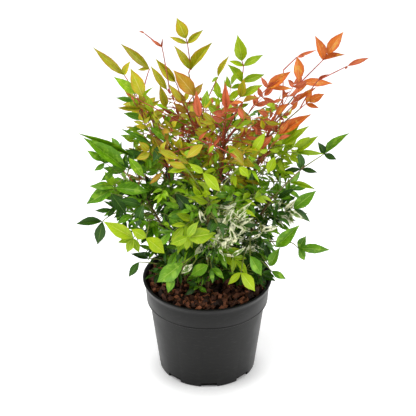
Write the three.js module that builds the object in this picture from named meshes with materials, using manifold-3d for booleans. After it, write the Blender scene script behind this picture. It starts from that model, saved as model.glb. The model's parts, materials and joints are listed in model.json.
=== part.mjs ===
// Heavenly bamboo, a many-caned evergreen shrub, growing in a round plastic nursery container.
// Millimetres, +Z up, X to the right, the front faces -Y; origin at the centre of the pot's underside.
//
// The pot is a turned shell with drain notches round its foot, filled with compost and bark chips.
// Eight canes rise from the compost. Each spray of foliage hangs on one stalk that springs from a
// cane: where the stalk is bare it is a bough, and its leafy part is one fused mass of twigs and
// leaflets, grown by a seeded rule and kept clear of everything that stands round it.

import * as THREE from 'three';
import { mergeVertices } from 'three/addons/utils/BufferGeometryUtils.js';
import Module from 'manifold-3d';

const wasm = await Module();
wasm.setup();

// ---------------------------------------------------------------- driving dimensions

const GAP = 0.3;                 // clear distance between neighbouring solids
const CLEAN = 0.06;              // slivers thinner than this, left by cuts and joins, are merged away
const SHORT_EDGE = 0.03;         // and so are edges shorter than this

// the pot: a 3 litre container, 19 cm across
const POT_HEIGHT = 150;
const LIP_RADIUS = 95;
const LIP_HEIGHT = 4.5;
const LIP_ROUNDING = 1.2;
const BAND_TOP_RADIUS = 89.3;    // the plain band under the lip
const BAND_FOOT_RADIUS = 87.5;
const BAND_HEIGHT = 36;
const BODY_TOP_RADIUS = 83.5;    // the tapering body below the band
const STEP_HEIGHT = 1.5;         // the slope from body to band
const FOOT_RADIUS = 71;
const FOOT_ROUNDING = 2;
const WALL = 1.6;
const FLOOR = 2;
const POT_SIDES = 40;
const NOTCHES = 8;               // drain notches round the foot
const NOTCH_FIRST_BEARING = -86; // degrees from +X, anticlockwise from above
const NOTCH_WIDTH = 22;
const NOTCH_HEIGHT = 6;
const NOTCH_DEPTH = 5;

// the compost
const COMPOST_BELOW_LIP = 9;
const COMPOST_FIT = 0.7;         // keeps it clear of the flats between the corners of the wall
const COMPOST_SIDES = 30;
const COMPOST_RINGS = 4;
const COLLAR_RADIUS = 40;        // level ground round the foot of the canes
const BUMP = 2.2;
const CHIPS = 16;
const CHIP_LENGTH = 15;
const CHIP_THICKNESS = 6.4;

// the canes
const CANE_SIDES = 5;
const CANE_STATIONS = 8;
const CANE_TIP_RADIUS = 1.9;
const CANE_BOW = 0.35;           // share of its lean that a cane makes in its lower half
const NODE_SWELLING = 0.14;      // how much a cane thickens at every second station
const FLARE = 1.8;               // extra radius of the root flare
const FLARE_HEIGHT = 7;

// boughs, stalks and twigs: radii of their three-sided sections (five-sided for a bough)
const BOUGH_SIDES = 5;
const TWIG_SIDES = 3;
const LIMB_STATIONS = 4;
const BOUGH_RADIUS = 1.8;
const STALK_RADIUS = 1.7;
const STALK_TIP_RADIUS = 1;
const TWIG_FOOT_RADIUS = 0.65;
const TWIG_RADIUS = 1.05;

// leaflets
const LEAF_SLIM = [0.38, 0.47];  // least and most width, as a share of a leaflet's length
const WIDEST = 0.42;             // where it is widest, as a share of its length
const KEEL_AT = 0.22;            // where its midrib stands highest
const KEEL = 0.037;              // height of the midrib there, as a share of its length
const LEAF_DROOP = 0.05;         // fall of its tip, also a share of it
const LEAF_SINK = 0.2;           // its root runs this far past the middle of the twig
const END_SINK = 2.5;            // and the root of an end leaflet this far back down it
const CLOSE_PAIR = 3.5;          // from the end of a stalk back to its close pair
const CLOSE_PAIR_SIZE = 0.8;     // size of that pair beside the end leaflet

// the growth rule
const LIGHT_ABOVE = 0.8;         // leaflets turn to the light above,
const LIGHT_SIDE = 0.45;         // to the light in front, or behind on the back sprays,
const OUTWARD = 0.4;             // and a little away from the middle of the plant
const ROLL = 22;                 // degrees that a spray may roll about its stalk
const PAIR_SPACING = 33;         // from one pair to the next along a stalk
const PAIR_ANGLE = 50;           // degrees between a stalk and its leaflets
const SIDE_ANGLE = 62;           // degrees between a stalk and its side sprays
const ANGLE_JITTER = 10;
const CUPPING = 0.25;            // how far the leaflets of a pair tilt towards each other
const SIDE_LIFT = 0.12;          // rise of a side spray
const SHORT_TWIG = 20;           // stalk of a side spray of three leaflets
const LONG_TWIG = 42;            // and of one with five
const BARE_FOOT = 12;            // the first leaflets stand this far from the cane or bough
const TOUCH_SHARE = 0.12;        // leaflets of one mass may meet over this share of their length
const TURNS = [0, 14, -14, 28, -28]; // degrees tried for a leaflet that would touch something
const ROLLS = [42, -42, 60, -60];

// cane: foot x, y, then tip x, y, z, and radius above the flare
const CANES = {
  back: { foot: [-6, 20], tip: [-16, 42, 402], radius: 3.1 },
  middle: { foot: [6, 2], tip: [26, 2, 398], radius: 3.4 },
  right: { foot: [24, 8], tip: [92, 14, 396], radius: 3 },
  left: { foot: [-23, 6], tip: [-78, 16, 404], radius: 3.2 },
  low_left: { foot: [-26, -14], tip: [-88, -32, 300], radius: 2.7 },
  low_right: { foot: [27, -13], tip: [92, -24, 296], radius: 2.7 },
  front: { foot: [0, -26], tip: [2, -82, 322], radius: 2.9 },
  rear: { foot: [10, 27], tip: [20, 92, 330], radius: 2.8 },
};

// each spray: name, the cane it springs from, share of the cane's length, tip x, y, z,
// rise: how far its stalk bows up, bare: share of the stalk that is a bough,
// pairs: places with side leaflets or side sprays, length of its leaflets, leaf colour
const SPRAYS = [
  // the airy top
  ['top_gold', 'back', 0.97, -41, 88, 517, 6, 0.4, 1, 42, 'gold'],
  ['top_lime', 'middle', 0.96, 38, 72, 495, 4, 0, 2, 40, 'lime'],
  ['top_olive_left', 'left', 0.97, -157, 20, 507, 8, 0, 1, 52, 'olive'],
  ['top_olive_back', 'left', 0.9, -122, 98, 474, 12, 0, 2, 50, 'olive'],
  ['top_gold_left', 'left', 0.83, -104, -30, 497, 10, 0, 2, 42, 'gold'],
  ['top_gold_middle', 'back', 0.88, -73, 98, 454, 10, 0, 2, 44, 'gold'],
  ['top_bronze', 'back', 0.78, -43, -40, 500, 8, 0, 2, 42, 'bronze'],
  ['red_shoot', 'back', 0.69, -92, 28, 526, 14, 0, 1, 14, 'coral'],
  ['orange_high', 'right', 0.97, 189, 30, 529, -2, 0.4, 2, 48, 'orange'],
  ['orange_far', 'right', 0.89, 219, 0, 501, 10, 0.34, 2, 38, 'orange'],
  ['orange_arch', 'right', 0.8, 148, -22, 520, 24, 0, 1, 38, 'coral'],
  ['coral_right', 'middle', 0.87, 110, -60, 506, 14, 0, 2, 40, 'coral'],
  ['coral_middle', 'middle', 0.79, 24, -76, 470, 18, 0, 2, 38, 'coral'],
  // the shoulders
  ['left_fresh', 'left', 0.76, -126, -24, 478, 12, 0, 2, 42, 'fresh'],
  ['left_bronze', 'left', 0.68, -128, 4, 423, 14, 0, 2, 46, 'bronze'],
  ['left_big_green', 'low_left', 0.96, -176, -12, 388, 22, 0, 2, 62, 'green'],
  ['right_orange_green', 'right', 0.72, 140, -24, 424, 14, 0, 2, 48, 'lime'],
  ['right_lime', 'right', 0.63, 156, 4, 380, 16, 0, 3, 46, 'lime'],
  ['right_dark', 'low_right', 0.95, 198, 12, 383, 10, 0.45, 1, 40, 'dark'],
  ['front_lime', 'front', 0.96, -12, -128, 372, 18, 0, 3, 50, 'lime'],
  ['front_gold_right', 'middle', 0.7, 72, -86, 404, 18, 0, 2, 46, 'gold'],
  ['front_gold_left', 'left', 0.58, -62, -84, 410, 18, 0, 2, 46, 'gold'],
  // the sides
  ['left_green', 'low_left', 0.88, -170, -42, 293, 28, 0, 3, 48, 'green'],
  ['left_dark_far', 'low_left', 0.79, -184, -44, 264, 26, 0.45, 1, 44, 'dark'],
  ['left_lime_front', 'low_left', 0.7, -134, -112, 300, 30, 0, 2, 48, 'lime'],
  ['inner_left', 'left', 0.46, -84, -66, 338, 24, 0, 3, 50, 'green'],
  ['left_dark_low', 'low_left', 0.5, -113, -32, 168, 30, 0, 1, 36, 'dark'],
  ['inner_right', 'right', 0.46, 86, -72, 334, 24, 0, 3, 48, 'green'],
  ['right_green', 'low_right', 0.88, 155, 2, 295, 26, 0, 3, 48, 'green'],
  ['right_cream', 'low_right', 0.78, 147, -62, 277, 26, 0, 3, 46, 'cream'],
  ['right_triple', 'low_right', 0.5, 178, -22, 206, 14, 0.5, 1, 36, 'green'],
  ['right_low', 'low_right', 0.6, 112, -34, 170, 34, 0, 2, 42, 'green'],
  // the front skirt
  ['front_cream', 'front', 0.86, 56, -134, 300, 26, 0, 3, 46, 'cream'],
  ['front_cream_low', 'front', 0.72, 18, -118, 236, 34, 0, 3, 42, 'cream'],
  ['front_lime_low', 'front', 0.5, 69, -90, 184, 34, 0, 2, 48, 'lime'],
  ['front_green_low', 'front', 0.6, -74, -82, 190, 38, 0, 3, 52, 'green'],
  ['front_lime_left', 'front', 0.8, -58, -128, 268, 34, 0, 3, 46, 'lime'],
  // the back
  ['back_left_low', 'rear', 0.5, -98, 94, 208, 36, 0, 3, 52, 'green'],
  ['back_left', 'rear', 0.84, -84, 132, 372, 26, 0, 3, 52, 'fresh'],
  ['back_low', 'rear', 0.42, 10, 128, 194, 36, 0, 3, 52, 'dark'],
  ['back_inner', 'back', 0.52, -8, 122, 326, 26, 0, 3, 52, 'green'],
  ['back_middle', 'rear', 0.97, 24, 134, 420, 18, 0, 3, 50, 'lime'],
  ['back_right_low', 'rear', 0.6, 110, 88, 210, 36, 0, 3, 52, 'dark'],
  ['back_right', 'rear', 0.91, 118, 96, 380, 26, 0, 2, 50, 'green'],
].map(([name, cane, from, x, y, z, rise, bare, pairs, leaf, colour], i) => (
  { name, cane, from, tip: [x, y, z], rise, bare, pairs, leaf, colour, seed: 1009 + 97 * i }));

// ---------------------------------------------------------------- materials

const FINISHES = {
  pot: { color: '#3a3a38', roughness: 0.45 },
  compost: { color: '#4a2a1f', roughness: 0.95 },
  cane: { color: '#6b5a36', roughness: 0.7 },
  bough: { color: '#7a4632', roughness: 0.6 },
  dark: { color: '#1f5a1c', roughness: 0.4 },
  green: { color: '#3a8f1e', roughness: 0.4 },
  fresh: { color: '#62a832', roughness: 0.4 },
  lime: { color: '#a4cc1c', roughness: 0.45 },
  gold: { color: '#b6a524', roughness: 0.45 },
  olive: { color: '#9a8f2a', roughness: 0.45 },
  bronze: { color: '#9c7424', roughness: 0.45 },
  orange: { color: '#d8702a', roughness: 0.45 },
  coral: { color: '#cc5a44', roughness: 0.45 },
  cream: { color: '#a9b98a', roughness: 0.45 },
};

// ---------------------------------------------------------------- solids from geometry

const UP = new THREE.Vector3(0, 0, 1);
const radians = THREE.MathUtils.degToRad;
const mix = THREE.MathUtils.lerp;

function mergedCorners(geometry) {
  geometry.deleteAttribute('normal');
  geometry.deleteAttribute('uv');
  return mergeVertices(geometry, 1e-4);
}

function solidOf(geometry) {
  const merged = mergedCorners(geometry);
  const corners = merged.index.array;
  const triangles = [];
  for (let i = 0; i < corners.length; i += 3) {
    const [a, b, c] = [corners[i], corners[i + 1], corners[i + 2]];
    if (a !== b && b !== c && c !== a) triangles.push(a, b, c);
  }
  return new wasm.Manifold(new wasm.Mesh({
    numProp: 3,
    vertProperties: Float32Array.from(merged.attributes.position.array),
    triVerts: Uint32Array.from(triangles),
  }));
}

function geometryOf(solid) {
  const mesh = solid.getMesh();
  const geometry = new THREE.BufferGeometry();
  geometry.setAttribute('position', new THREE.BufferAttribute(mesh.vertProperties, 3));
  geometry.setIndex(new THREE.BufferAttribute(mesh.triVerts, 1));
  geometry.computeVertexNormals();
  return geometry;
}

// the solid without slivers: both ends of an edge that is too short become one corner
function cleaned(solid) {
  const { vertProperties: corner, triVerts } = solid.simplify(CLEAN).getMesh();
  const at = (i) => new THREE.Vector3().fromArray(corner, 3 * i);
  const merged = new Map();
  const last = (i) => (merged.has(i) ? last(merged.get(i)) : i);
  for (let i = 0; i < triVerts.length; i += 1) {
    const next = i % 3 === 2 ? i - 2 : i + 1;
    const [a, b] = [last(triVerts[i]), last(triVerts[next])];
    if (a !== b && at(triVerts[i]).distanceTo(at(triVerts[next])) < SHORT_EDGE) merged.set(a, b);
  }
  const triangles = [];
  for (let i = 0; i < triVerts.length; i += 3) {
    const [a, b, c] = [last(triVerts[i]), last(triVerts[i + 1]), last(triVerts[i + 2])];
    if (a !== b && b !== c && c !== a) triangles.push(a, b, c);
  }
  return new wasm.Manifold(new wasm.Mesh({
    numProp: 3, vertProperties: corner, triVerts: Uint32Array.from(triangles),
  }));
}

function subPart(name, solid, finish) {
  const material = new THREE.MeshStandardMaterial({ ...FINISHES[finish], metalness: 0 });
  const mesh = new THREE.Mesh(geometryOf(cleaned(solid)), material);
  mesh.name = name;
  return mesh;
}

// moves each corner of a geometry to where place(x, y, z) says
function reshape(geometry, place) {
  const position = geometry.attributes.position;
  for (let i = 0; i < position.count; i += 1) {
    const point = place(position.getX(i), position.getY(i), position.getZ(i));
    position.setXYZ(i, point.x, point.y, point.z);
  }
  return geometry;
}

// the solid turned from a profile of [radius, height] pairs
function turned(profile, sides) {
  const points = profile.map(([radius, height]) => new THREE.Vector2(radius, height));
  return new THREE.LatheGeometry(points, sides).rotateX(Math.PI / 2);
}

// a minimal-standard random generator, so that every run grows the same plant
function seeded(seed) {
  let state = seed;
  return () => {
    state = (state * 48271) % 2147483647;
    return state / 2147483647;
  };
}

// ---------------------------------------------------------------- pot

const BAND_FOOT = POT_HEIGHT - BAND_HEIGHT;

function pot() {
  const lipFoot = POT_HEIGHT - LIP_HEIGHT;
  const inside = BAND_TOP_RADIUS - WALL;
  let shell = solidOf(turned([
    [0, 0], [FOOT_RADIUS - FOOT_ROUNDING, 0],
    [FOOT_RADIUS - 0.3 * FOOT_ROUNDING, 0.3 * FOOT_ROUNDING], [FOOT_RADIUS, FOOT_ROUNDING],
    [BODY_TOP_RADIUS, BAND_FOOT - STEP_HEIGHT], [BAND_FOOT_RADIUS - 1, BAND_FOOT],
    [BAND_FOOT_RADIUS, BAND_FOOT + 1], [BAND_TOP_RADIUS, lipFoot],
    [LIP_RADIUS - 0.8, lipFoot], [LIP_RADIUS, lipFoot + 0.8],
    [LIP_RADIUS, POT_HEIGHT - LIP_ROUNDING], [LIP_RADIUS - LIP_ROUNDING, POT_HEIGHT],
    [inside + 1, POT_HEIGHT], [inside, POT_HEIGHT - 1],
    [BAND_FOOT_RADIUS - WALL, BAND_FOOT + 1 + WALL],
    [BODY_TOP_RADIUS - WALL, BAND_FOOT - STEP_HEIGHT + WALL],
    [FOOT_RADIUS - WALL, FLOOR + 1], [FOOT_RADIUS - WALL - 1, FLOOR], [0, FLOOR],
  ], POT_SIDES));
  for (let i = 0; i < NOTCHES; i += 1) {
    const notch = new THREE.BoxGeometry(2 * NOTCH_DEPTH, NOTCH_WIDTH, 2 * NOTCH_HEIGHT);
    notch.translate(FOOT_RADIUS, 0, 0);
    notch.rotateZ(radians(NOTCH_FIRST_BEARING + (360 / NOTCHES) * i));
    shell = shell.subtract(solidOf(notch));
  }
  return shell;
}

// ---------------------------------------------------------------- compost

const COMPOST_TOP = POT_HEIGHT - COMPOST_BELOW_LIP;
const COMPOST_RADIUS = BAND_FOOT_RADIUS - WALL
  + ((BAND_TOP_RADIUS - BAND_FOOT_RADIUS) * (COMPOST_TOP - BAND_FOOT)) / BAND_HEIGHT - COMPOST_FIT;

// a filling that widens with the pot, with a loose, bumpy top outside the collar of the canes
function compost() {
  const random = seeded(11);
  const profile = [
    [0, FLOOR + GAP], [FOOT_RADIUS - WALL - 2.5, FLOOR + GAP],
    [BODY_TOP_RADIUS - WALL - COMPOST_FIT, BAND_FOOT],
    [BAND_FOOT_RADIUS - WALL - COMPOST_FIT, BAND_FOOT + 5], [COMPOST_RADIUS, COMPOST_TOP - 1],
  ];
  for (let ring = COMPOST_RINGS - 1; ring >= 0; ring -= 1) {
    profile.push([mix(COLLAR_RADIUS, COMPOST_RADIUS, ring / COMPOST_RINGS), COMPOST_TOP]);
  }
  profile.push([0, COMPOST_TOP]);
  const filling = reshape(mergedCorners(turned(profile, COMPOST_SIDES)), (x, y, z) => {
    const loose = z > COMPOST_TOP - 0.5 && Math.hypot(x, y) > COLLAR_RADIUS + 1;
    return new THREE.Vector3(x, y, loose ? z + (random() * 2 - 1) * BUMP : z);
  });
  const pieces = [solidOf(filling)];
  for (let i = 0; i < CHIPS; i += 1) {
    const bearing = 2.4 * i;     // the golden angle in radians spreads the chips evenly
    const spread = COMPOST_RADIUS - COLLAR_RADIUS - CHIP_LENGTH;
    const radius = COLLAR_RADIUS + CHIP_LENGTH / 2 + spread * Math.sqrt(random());
    const length = CHIP_LENGTH * (0.6 + 0.4 * random());
    const chip = new THREE.OctahedronGeometry(0.5);
    chip.scale(length, length / 2, CHIP_THICKNESS);
    chip.rotateX(0.6 * random()).rotateZ(2 * Math.PI * random());
    chip.translate(radius * Math.cos(bearing), radius * Math.sin(bearing), COMPOST_TOP + 0.6);
    pieces.push(solidOf(chip));
  }
  return wasm.Manifold.union(pieces);
}

// ---------------------------------------------------------------- limbs and leaflets

// a tapering limb along a curve: stations are shares of the curve, radiusAt(share) its radius
function limb(curve, stations, sides, radiusAt) {
  const rod = new THREE.CylinderGeometry(1, 1, 1, sides, stations.length - 1);
  const [start, middle, end] = [0, 0.5, 1].map((share) => curve.getPoint(share));
  const across = middle.sub(start).cross(end.sub(start));
  if (across.length() < 1) across.copy(UP).cross(end);
  across.normalize();
  return solidOf(reshape(rod, (x, y, z) => {
    const share = stations[Math.round((y + 0.5) * (stations.length - 1))];
    const along = curve.getTangent(share);
    const through = across.clone().cross(along).normalize();
    return curve.getPoint(share)
      .addScaledVector(across, x * radiusAt(share))
      .addScaledVector(through, z * radiusAt(share));
  }));
}

function evenStations(from, to, count) {
  return Array.from({ length: count + 1 }, (_, i) => mix(from, to, i / count));
}

function twigSolid({ from, to }, extra = 0) {
  const radiusAt = (share) => mix(TWIG_FOOT_RADIUS, TWIG_RADIUS, share) + extra;
  return limb(new THREE.LineCurve3(from, to), [0, 1], TWIG_SIDES, radiusAt);
}

// a leaflet: its root and tip are the poles of a three-sided spindle, and the corners round
// its middle are the two edges and the highest point of the midrib
function leafSolid({ root, along, normal, length, width, sink }, extra = 0) {
  const side = along.clone().cross(normal);
  const corner = (forward, sideways, lift) => root.clone()
    .addScaledVector(along, forward).addScaledVector(side, sideways).addScaledVector(normal, lift);
  return solidOf(reshape(new THREE.SphereGeometry(1, 3, 2), (x, y, z) => {
    if (y > 0.5) return corner(length + 10 * extra, 0, -LEAF_DROOP * length - extra);
    if (y < -0.5) return corner(-sink - extra, 0, -extra);
    if (x < -0.9) return corner(KEEL_AT * length, 0, KEEL * length + 2 * extra);
    return corner(WIDEST * length, Math.sign(z) * (width / 2 + 5 * extra), -extra);
  }));
}

// ---------------------------------------------------------------- growth rule

// the upright part of a vector beside a direction, at unit length
function squareTo(vector, along) {
  return vector.clone().addScaledVector(along, -vector.dot(along)).normalize();
}

// a direction that leaves a stalk at an angle towards one hand
function branching({ along, normal }, hand, degrees) {
  const side = along.clone().cross(normal);
  return along.clone().multiplyScalar(Math.cos(radians(degrees)))
    .addScaledVector(side, hand * Math.sin(radians(degrees)));
}

function bowed(start, tip, rise) {
  const bend = start.clone().lerp(tip, 0.5).addScaledVector(UP, rise);
  return new THREE.QuadraticBezierCurve3(start, bend, tip);
}

// where the stalk, twigs and leaflets of one spray go, before anything is tested or fused
function growSpray(spray, start) {
  const random = seeded(spray.seed);
  const jitter = (amount) => (random() * 2 - 1) * amount;
  const curve = bowed(start, new THREE.Vector3(...spray.tip), spray.rise);
  const length = curve.v0.distanceTo(curve.v1) + curve.v1.distanceTo(curve.v2);
  const end = 1 - spray.leaf / length;
  const outward = new THREE.Vector3(spray.tip[0], spray.tip[1], 0).normalize();
  const lightSide = spray.name.startsWith('back') ? LIGHT_SIDE : -LIGHT_SIDE;
  const facing = new THREE.Vector3(0, lightSide, LIGHT_ABOVE).addScaledVector(outward, OUTWARD);
  const roll = radians(jitter(ROLL));
  const twigs = [];
  const leaves = [];

  const addLeaf = (root, along, normal, size, sink, twig) => {
    const width = size * mix(LEAF_SLIM[0], LEAF_SLIM[1], random());
    leaves.push({ root, along, normal: squareTo(normal, along), length: size, width, sink, twig });
  };
  // a pair of leaflets, one on each hand of a stalk
  const addPair = (node, size, twig) => {
    const side = node.along.clone().cross(node.normal);
    for (const hand of [-1, 1]) {
      const along = branching(node, hand, PAIR_ANGLE + jitter(ANGLE_JITTER));
      along.z += jitter(SIDE_LIFT);
      const normal = node.normal.clone().addScaledVector(side, jitter(CUPPING) - hand * CUPPING);
      addLeaf(node.at, along.normalize(), normal, size * (0.9 + 0.16 * random()), LEAF_SINK, twig);
    }
  };
  // the end of a stalk: one leaflet straight on, and a close pair
  const addEnd = (node, size, twig) => {
    addLeaf(node.at, node.along, node.normal, size, END_SINK, twig);
    const at = node.at.clone().addScaledVector(node.along, -CLOSE_PAIR);
    addPair({ ...node, at }, CLOSE_PAIR_SIZE * size, twig);
  };
  // a side spray: a twig with three leaflets, or with five where the stalk is older
  const addSide = (node, hand, long) => {
    const along = branching(node, hand, SIDE_ANGLE + jitter(ANGLE_JITTER));
    along.z += SIDE_LIFT;
    along.normalize();
    const reach = (long ? LONG_TWIG : SHORT_TWIG) * (0.85 + 0.3 * random());
    const side = node.along.clone().cross(node.normal);
    const tilted = node.normal.clone().addScaledVector(side, jitter(CUPPING) - hand * CUPPING);
    const tip = { at: node.at.clone().addScaledVector(along, reach), along, normal: squareTo(tilted, along) };
    const twig = { from: node.at, to: tip.at };
    const size = spray.leaf * (0.82 + 0.14 * random());
    twigs.push(twig);
    addEnd(tip, size, twig);
    if (long) addPair({ ...tip, at: node.at.clone().lerp(tip.at, 0.5) }, size, twig);
  };
  const nodeAt = (share) => {
    const along = curve.getTangent(share);
    const normal = squareTo(facing, along).applyAxisAngle(along, roll);
    return { at: curve.getPoint(share), along, normal };
  };

  addEnd(nodeAt(end), spray.leaf, null);
  const room = end - spray.bare - BARE_FOOT / length;
  const step = Math.min(PAIR_SPACING / length, room / spray.pairs);
  addPair(nodeAt(end - step), spray.leaf, null);
  for (let pair = 2; pair <= spray.pairs; pair += 1) {
    const node = nodeAt(end - step * pair);
    for (const hand of [-1, 1]) addSide(node, hand, pair > 2);
  }
  return { curve, length, end, twigs, leaves };
}

// ---------------------------------------------------------------- keeping the solids apart

const placed = [];               // every solid so far, with its box, its node and what it is

function place(solid, node, what) {
  placed.push({ solid, box: solid.boundingBox(), node, what });
}

function boxesMeet(a, b) {
  return [0, 1, 2].every((axis) => a.min[axis] < b.max[axis] && b.min[axis] < a.max[axis]);
}

function touches(solid, counts) {
  const box = solid.boundingBox();
  return placed.some((other) => counts(other) && boxesMeet(box, other.box)
    && !solid.intersect(other.solid).isEmpty());
}

// the leaflet, turned by the first of a few small angles that keeps it clear, or undefined
function clearLeaf(leaf, node) {
  const turns = [...TURNS.map((degrees) => [leaf.normal, degrees]),
    ...ROLLS.map((degrees) => [leaf.along, degrees])];
  const turnedBy = ([axis, degrees]) => {
    const turn = new THREE.Quaternion().setFromAxisAngle(axis, radians(degrees));
    return { ...leaf,
      along: leaf.along.clone().applyQuaternion(turn),
      normal: leaf.normal.clone().applyQuaternion(turn) };
  };
  return turns.map(turnedBy).find((turned) => {
    const outer = { ...turned, sink: -TOUCH_SHARE * leaf.length };
    return !touches(leafSolid(turned, GAP), (other) => other.node !== node)
      && !touches(leafSolid(outer), (other) => other.node === node && other.what !== leaf.twig);
  });
}

// ---------------------------------------------------------------- the whole plant

const plant = new THREE.Group();

function addPart(node, solid, finish) {
  plant.add(subPart(node, solid, finish));
}

const potSolid = pot();
const compostSolid = compost();
place(potSolid, 'pot', 'pot');
place(compostSolid, 'compost', 'compost');
addPart('pot', potSolid, 'pot');
addPart('compost', compostSolid, 'compost');

// the canes, cut level just above the compost
const caneCurves = {};
const caneCutters = {};          // each cane thicker by the gap, to cut what springs from it
for (const [name, { foot, tip, radius }] of Object.entries(CANES)) {
  const ground = COMPOST_TOP + GAP;
  const base = new THREE.Vector3(...foot, ground - FLARE_HEIGHT / 2);
  const top = new THREE.Vector3(...tip);
  const bend = base.clone().lerp(top, CANE_BOW).setZ((base.z + top.z) / 2);
  const curve = new THREE.QuadraticBezierCurve3(base, bend, top);
  const length = curve.getLength();
  const flare = [0, 0.5, 1.1].map((share) => (share * FLARE_HEIGHT) / length);
  const stations = [...flare, ...evenStations((2.5 * FLARE_HEIGHT) / length, 1, CANE_STATIONS)];
  const radiusAt = (extra) => (share) => {
    const swelling = 1 + (stations.indexOf(share) % 2) * NODE_SWELLING;
    const flared = FLARE * Math.exp((-share * length) / FLARE_HEIGHT);
    return mix(radius, CANE_TIP_RADIUS, share) * swelling + flared + extra;
  };
  caneCurves[name] = curve;
  caneCutters[name] = limb(curve, stations, CANE_SIDES, radiusAt(GAP));
  place(caneCutters[name], `cane_${name}`, 'cane');
  const whole = limb(curve, stations, CANE_SIDES, radiusAt(0));
  addPart(`cane_${name}`, whole.trimByPlane([0, 0, 1], ground), 'cane');
}

// every stalk and bough comes before the first leaflet, so that all leaflets keep clear of them
const masses = SPRAYS.map((spray) => {
  const node = `foliage_${spray.name}`;
  const { curve, length, end, twigs, leaves } = growSpray(spray, caneCurves[spray.cane].getPoint(spray.from));
  const cutter = caneCutters[spray.cane];
  const radiusAt = (foot, extra) => (share) => mix(foot, STALK_TIP_RADIUS, share / end) + extra;
  const apart = (other) => other.node !== node && other.node !== `cane_${spray.cane}`;
  const lay = (name, stations, sides, foot, what) => {
    const solid = limb(curve, stations, sides, radiusAt(foot, 0)).subtract(cutter);
    const grown = limb(curve, stations, sides, radiusAt(foot, GAP)).subtract(cutter);
    if (touches(grown, apart)) throw new Error(`${name} touches its neighbour`);
    place(what === 'bough' ? grown : solid, name, what);
    return solid;
  };
  if (spray.bare > 0) {
    const name = `bough_${spray.name}`;
    const stations = evenStations(0, spray.bare, LIMB_STATIONS);
    addPart(name, lay(name, stations, BOUGH_SIDES, BOUGH_RADIUS, 'bough'), 'bough');
  }
  const leafy = spray.bare > 0 ? spray.bare + GAP / length : 0;
  const stalk = lay(node, evenStations(leafy, end, LIMB_STATIONS), TWIG_SIDES, STALK_RADIUS, null);
  return { node, finish: spray.colour, twigs, leaves, pieces: [stalk] };
});

for (const { node, twigs, leaves, pieces } of masses) {
  const standing = new Set([null]);
  for (const twig of twigs) {
    if (touches(twigSolid(twig, GAP), (other) => other.node !== node)) continue;
    const solid = twigSolid(twig);
    standing.add(twig);
    place(solid, node, twig);
    pieces.push(solid);
  }
  for (const leaf of leaves.filter(({ twig }) => standing.has(twig))) {
    const clear = clearLeaf(leaf, node);
    if (!clear) continue;
    const solid = leafSolid(clear);
    place(solid, node, 'leaf');
    pieces.push(solid);
  }
}

// each mass is fused, and a scrap that its cane's cut left loose is dropped
for (const { node, finish, pieces } of masses) {
  const [mass] = wasm.Manifold.union(pieces).decompose().sort((a, b) => b.volume() - a.volume());
  addPart(node, mass, finish);
}

export default plant;
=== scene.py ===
# %% [markdown]
# # A heavenly bamboo in its nursery pot
# Heavenly bamboo is a shrub of many thin, upright canes. Its leaves are fronds: a stalk that
# carries pairs of side stalks, and those carry pairs of small pointed leaflets. This lesson
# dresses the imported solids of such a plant: the turned pot and the compost get a fine surface,
# and each plain foliage mass is grown again, leaflet by leaflet, by the same rule.
#
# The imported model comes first, because every piece below takes its place from it.

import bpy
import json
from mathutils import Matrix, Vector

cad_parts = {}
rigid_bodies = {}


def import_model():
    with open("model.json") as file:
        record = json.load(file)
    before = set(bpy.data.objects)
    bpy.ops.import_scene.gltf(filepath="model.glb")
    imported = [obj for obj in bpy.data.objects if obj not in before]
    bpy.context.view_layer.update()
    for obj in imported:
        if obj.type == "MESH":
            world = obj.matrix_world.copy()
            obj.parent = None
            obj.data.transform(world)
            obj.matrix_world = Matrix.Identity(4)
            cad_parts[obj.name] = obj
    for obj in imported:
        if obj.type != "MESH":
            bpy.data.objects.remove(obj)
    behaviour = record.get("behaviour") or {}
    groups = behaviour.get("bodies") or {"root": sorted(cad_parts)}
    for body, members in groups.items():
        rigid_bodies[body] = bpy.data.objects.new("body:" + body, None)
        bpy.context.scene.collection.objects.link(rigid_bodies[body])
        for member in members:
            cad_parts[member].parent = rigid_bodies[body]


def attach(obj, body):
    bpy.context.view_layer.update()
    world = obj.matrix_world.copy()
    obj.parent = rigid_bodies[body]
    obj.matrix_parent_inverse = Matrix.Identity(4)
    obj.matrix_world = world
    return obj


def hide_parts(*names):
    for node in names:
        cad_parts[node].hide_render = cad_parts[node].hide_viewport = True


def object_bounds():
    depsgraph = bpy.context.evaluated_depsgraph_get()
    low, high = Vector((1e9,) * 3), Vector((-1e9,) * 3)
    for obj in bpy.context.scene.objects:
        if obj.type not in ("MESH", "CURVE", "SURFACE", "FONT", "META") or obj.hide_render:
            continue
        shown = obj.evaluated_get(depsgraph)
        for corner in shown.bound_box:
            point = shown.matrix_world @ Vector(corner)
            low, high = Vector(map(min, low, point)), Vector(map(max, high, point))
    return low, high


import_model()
cad_box = [[float(value) for value in corner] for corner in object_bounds()]

import json
import math
import random

import bpy
import numpy as np
from mathutils import Matrix, Quaternion, Vector, noise

MM = 0.001                       # the tables below are in millimetres, Blender is in metres
print("CAD box, metres:", cad_box)

# %% [markdown]
# ## Small tools
# Shaders work in linear light, and colours are easier to choose as sRGB hex values, so one
# function converts them. A second one adds a node to any tree, material or geometry, with its
# settings and its links in one line, so that a tree reads from top to bottom as a recipe.

# %% Colours, nodes and materials
def linear(hex_colour):
    """The linear colour, with alpha, of an sRGB hex value."""
    channels = [int(hex_colour[i:i + 2], 16) / 255 for i in (1, 3, 5)]
    return tuple(c / 12.92 if c <= 0.04045 else ((c + 0.055) / 1.055) ** 2.4
                 for c in channels) + (1.0,)


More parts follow.
